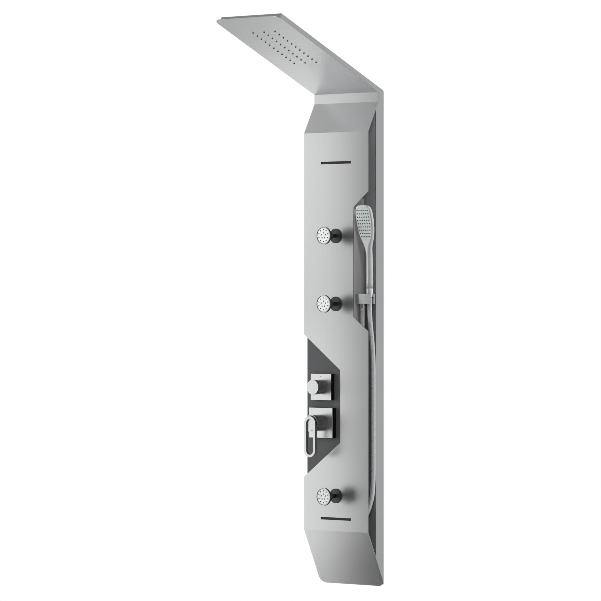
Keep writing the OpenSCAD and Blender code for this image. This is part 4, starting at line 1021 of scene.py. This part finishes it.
def studio_world():
    """White for the camera, for reflections and through glass, and soft light for matt surfaces."""
    world = bpy.data.worlds.new("studio")
    bpy.context.scene.world = world
    world.use_nodes = True
    nodes, links = world.node_tree.nodes, world.node_tree.links
    nodes.clear()
    place = nodes.new("ShaderNodeTexCoord")
    side = nodes.new("ShaderNodeVectorMath")
    side.operation = "DOT_PRODUCT"
    side.inputs[1].default_value = BRIGHT_SIDE
    links.new(place.outputs["Generated"], side.inputs[0])
    bright = nodes.new("ShaderNodeMapRange")
    bright.interpolation_type = "SMOOTHSTEP"
    bright.inputs["From Min"].default_value = -1.0
    bright.inputs["From Max"].default_value = 1.0
    bright.inputs["To Min"].default_value = DULL_STRENGTH
    bright.inputs["To Max"].default_value = BRIGHT_STRENGTH
    links.new(side.outputs["Value"], bright.inputs["Value"])
    studio = nodes.new("ShaderNodeBackground")
    studio.inputs["Color"].default_value = WHITE
    links.new(bright.outputs["Result"], studio.inputs["Strength"])
    white = nodes.new("ShaderNodeBackground")
    white.inputs["Color"].default_value = WHITE
    white.inputs["Strength"].default_value = 1.0
    ray = nodes.new("ShaderNodeLightPath")
    seen = ray.outputs["Is Camera Ray"]
    for kind in ("Is Glossy Ray", "Is Transmission Ray"):
        either = nodes.new("ShaderNodeMath")
        either.operation = "MAXIMUM"
        links.new(seen, either.inputs[0])
        links.new(ray.outputs[kind], either.inputs[1])
        seen = either.outputs["Value"]
    mix = nodes.new("ShaderNodeMixShader")
    links.new(seen, mix.inputs["Fac"])
    links.new(studio.outputs["Background"], mix.inputs[1])
    links.new(white.outputs["Background"], mix.inputs[2])
    output = nodes.new("ShaderNodeOutputWorld")
    links.new(mix.outputs["Shader"], output.inputs["Surface"])


studio_world()
print("soft light: from", DULL_STRENGTH, "on the dull side to", BRIGHT_STRENGTH, "on the bright side")

# %% [markdown]
# ## Lamps
#
# Soft boxes light the paint and the plastic: one from the left, one from in front and a small
# one for the cover's upper part. Sun or spot lamps would draw hard shadows. Metal shows lamps
# as bright patches, so they are hidden from its reflections.


# %% Hang the lamps
def facing(place, target):
    """The turn that points a lamp or a board at a target."""
    return (Vector(target) - Vector(place)).to_track_quat("-Z", "Y").to_euler()


def softbox(name, place, target, width, height, brightness):
    """A soft upright lamp that lights matt surfaces."""
    data = bpy.data.lights.new(name, "AREA")
    data.shape = "RECTANGLE"
    data.size = width
    data.size_y = height
    data.energy = brightness * math.pi * width * height
    thing = put_in_scene(bpy.data.objects.new(name, data))
    thing.visible_camera = False
    thing.visible_glossy = False
    thing.location = place
    thing.rotation_euler = facing(place, target)
    return thing


lamps = [
    softbox("front_left", (-1.7, -1.5, 0.9), (0, -0.1, 0.6), width=0.7, height=0.9, brightness=9.0),
    softbox("front_right", (1.8, -2.6, 1.6), (0, -0.1, 0.8), width=1.5, height=1.5, brightness=1.8),
    softbox("right_top", (0.6, -0.45, 1.85), (0.11, -0.05, 1.3), width=0.3, height=0.3, brightness=24),
]
print("lamps:", {lamp.name: round(lamp.data.energy, 1) for lamp in lamps}, "watts")

# %% [markdown]
# ## Boards
#
# In a white studio bare metal goes flat and white. A photographer sets up dark and grey boards
# that only show as reflections, so each face of the metal gets its own tone and a soft
# gradient. The metal could be painted with gradients instead, but they would not follow the
# view. A board stands where a face mirrors it, and its tone is the tone that the face takes.


# %% Set up the boards
def board(name, place, target, width, height, tone):
    """A flat board of an even tone, which only shows in reflections."""
    bm = bmesh.new()
    bmesh.ops.create_grid(bm, x_segments=1, y_segments=1, size=0.5)
    bmesh.ops.scale(bm, vec=(width, height, 1), verts=bm.verts[:])
    bmesh.ops.transform(bm, matrix=facing(place, target).to_matrix().to_4x4(), verts=bm.verts[:])
    bmesh.ops.translate(bm, vec=place, verts=bm.verts[:])
    mesh = plain_mesh(bm, name)
    finish = Finish(name, (0, 0, 0), metallic=0.0, roughness=1.0, Specular_IOR_Level=0.0,
                    Emission_Color=WHITE, Emission_Strength=tone)
    mesh.materials.append(finish.material)
    thing = put_in_scene(bpy.data.objects.new(name, mesh))
    for sight in ("visible_camera", "visible_diffuse", "visible_shadow", "visible_transmission"):
        setattr(thing, sight, False)
    return thing


boards = [
    board("dark_front_right", (0.695, -0.786, 0.77), (1.023, 0.157, 0.77),
          width=1.92, height=1.6, tone=0.12),
    board("grey_over", (-0.74, -0.6, 2.22), (0.08, -0.06, 1.37), width=1.5, height=1.5, tone=0.5),
    board("dark_right", (1.2, -0.45, 1.1), (0, -0.1, 1.1), width=1.2, height=1.8, tone=0.45),
    board("grey_head_front", (-0.78, -0.28, 1.02), (0, -0.5, 1.64), width=0.9, height=0.7, tone=0.55),
    board("grey_head_back", (-0.76, 0.92, 0.8), (0, -0.1, 1.5), width=0.9, height=0.72, tone=1.0),
    board("dark_low", (0.125, -0.34, -0.25), (0.125, -0.1, 0.2), width=0.86, height=0.6, tone=0.04),
    board("white_low", (-0.71, -0.34, -0.27), (-0.53, -0.1, 0.3), width=0.86, height=0.8, tone=1.0),
]
print("boards:", len(boards))

# %% [markdown]
# ## Picture
#
# The Standard view shows the tones as they are, where a film-like view would grey the white
# room. A narrow pixel filter keeps the small nozzles apart, as in a sharpened product photo.

# %% Set up the picture
PIXEL_FILTER = 0.7

bpy.context.scene.view_settings.view_transform = "Standard"
bpy.context.scene.cycles.filter_width = PIXEL_FILTER
print("pixel filter:", PIXEL_FILTER, "pixels")
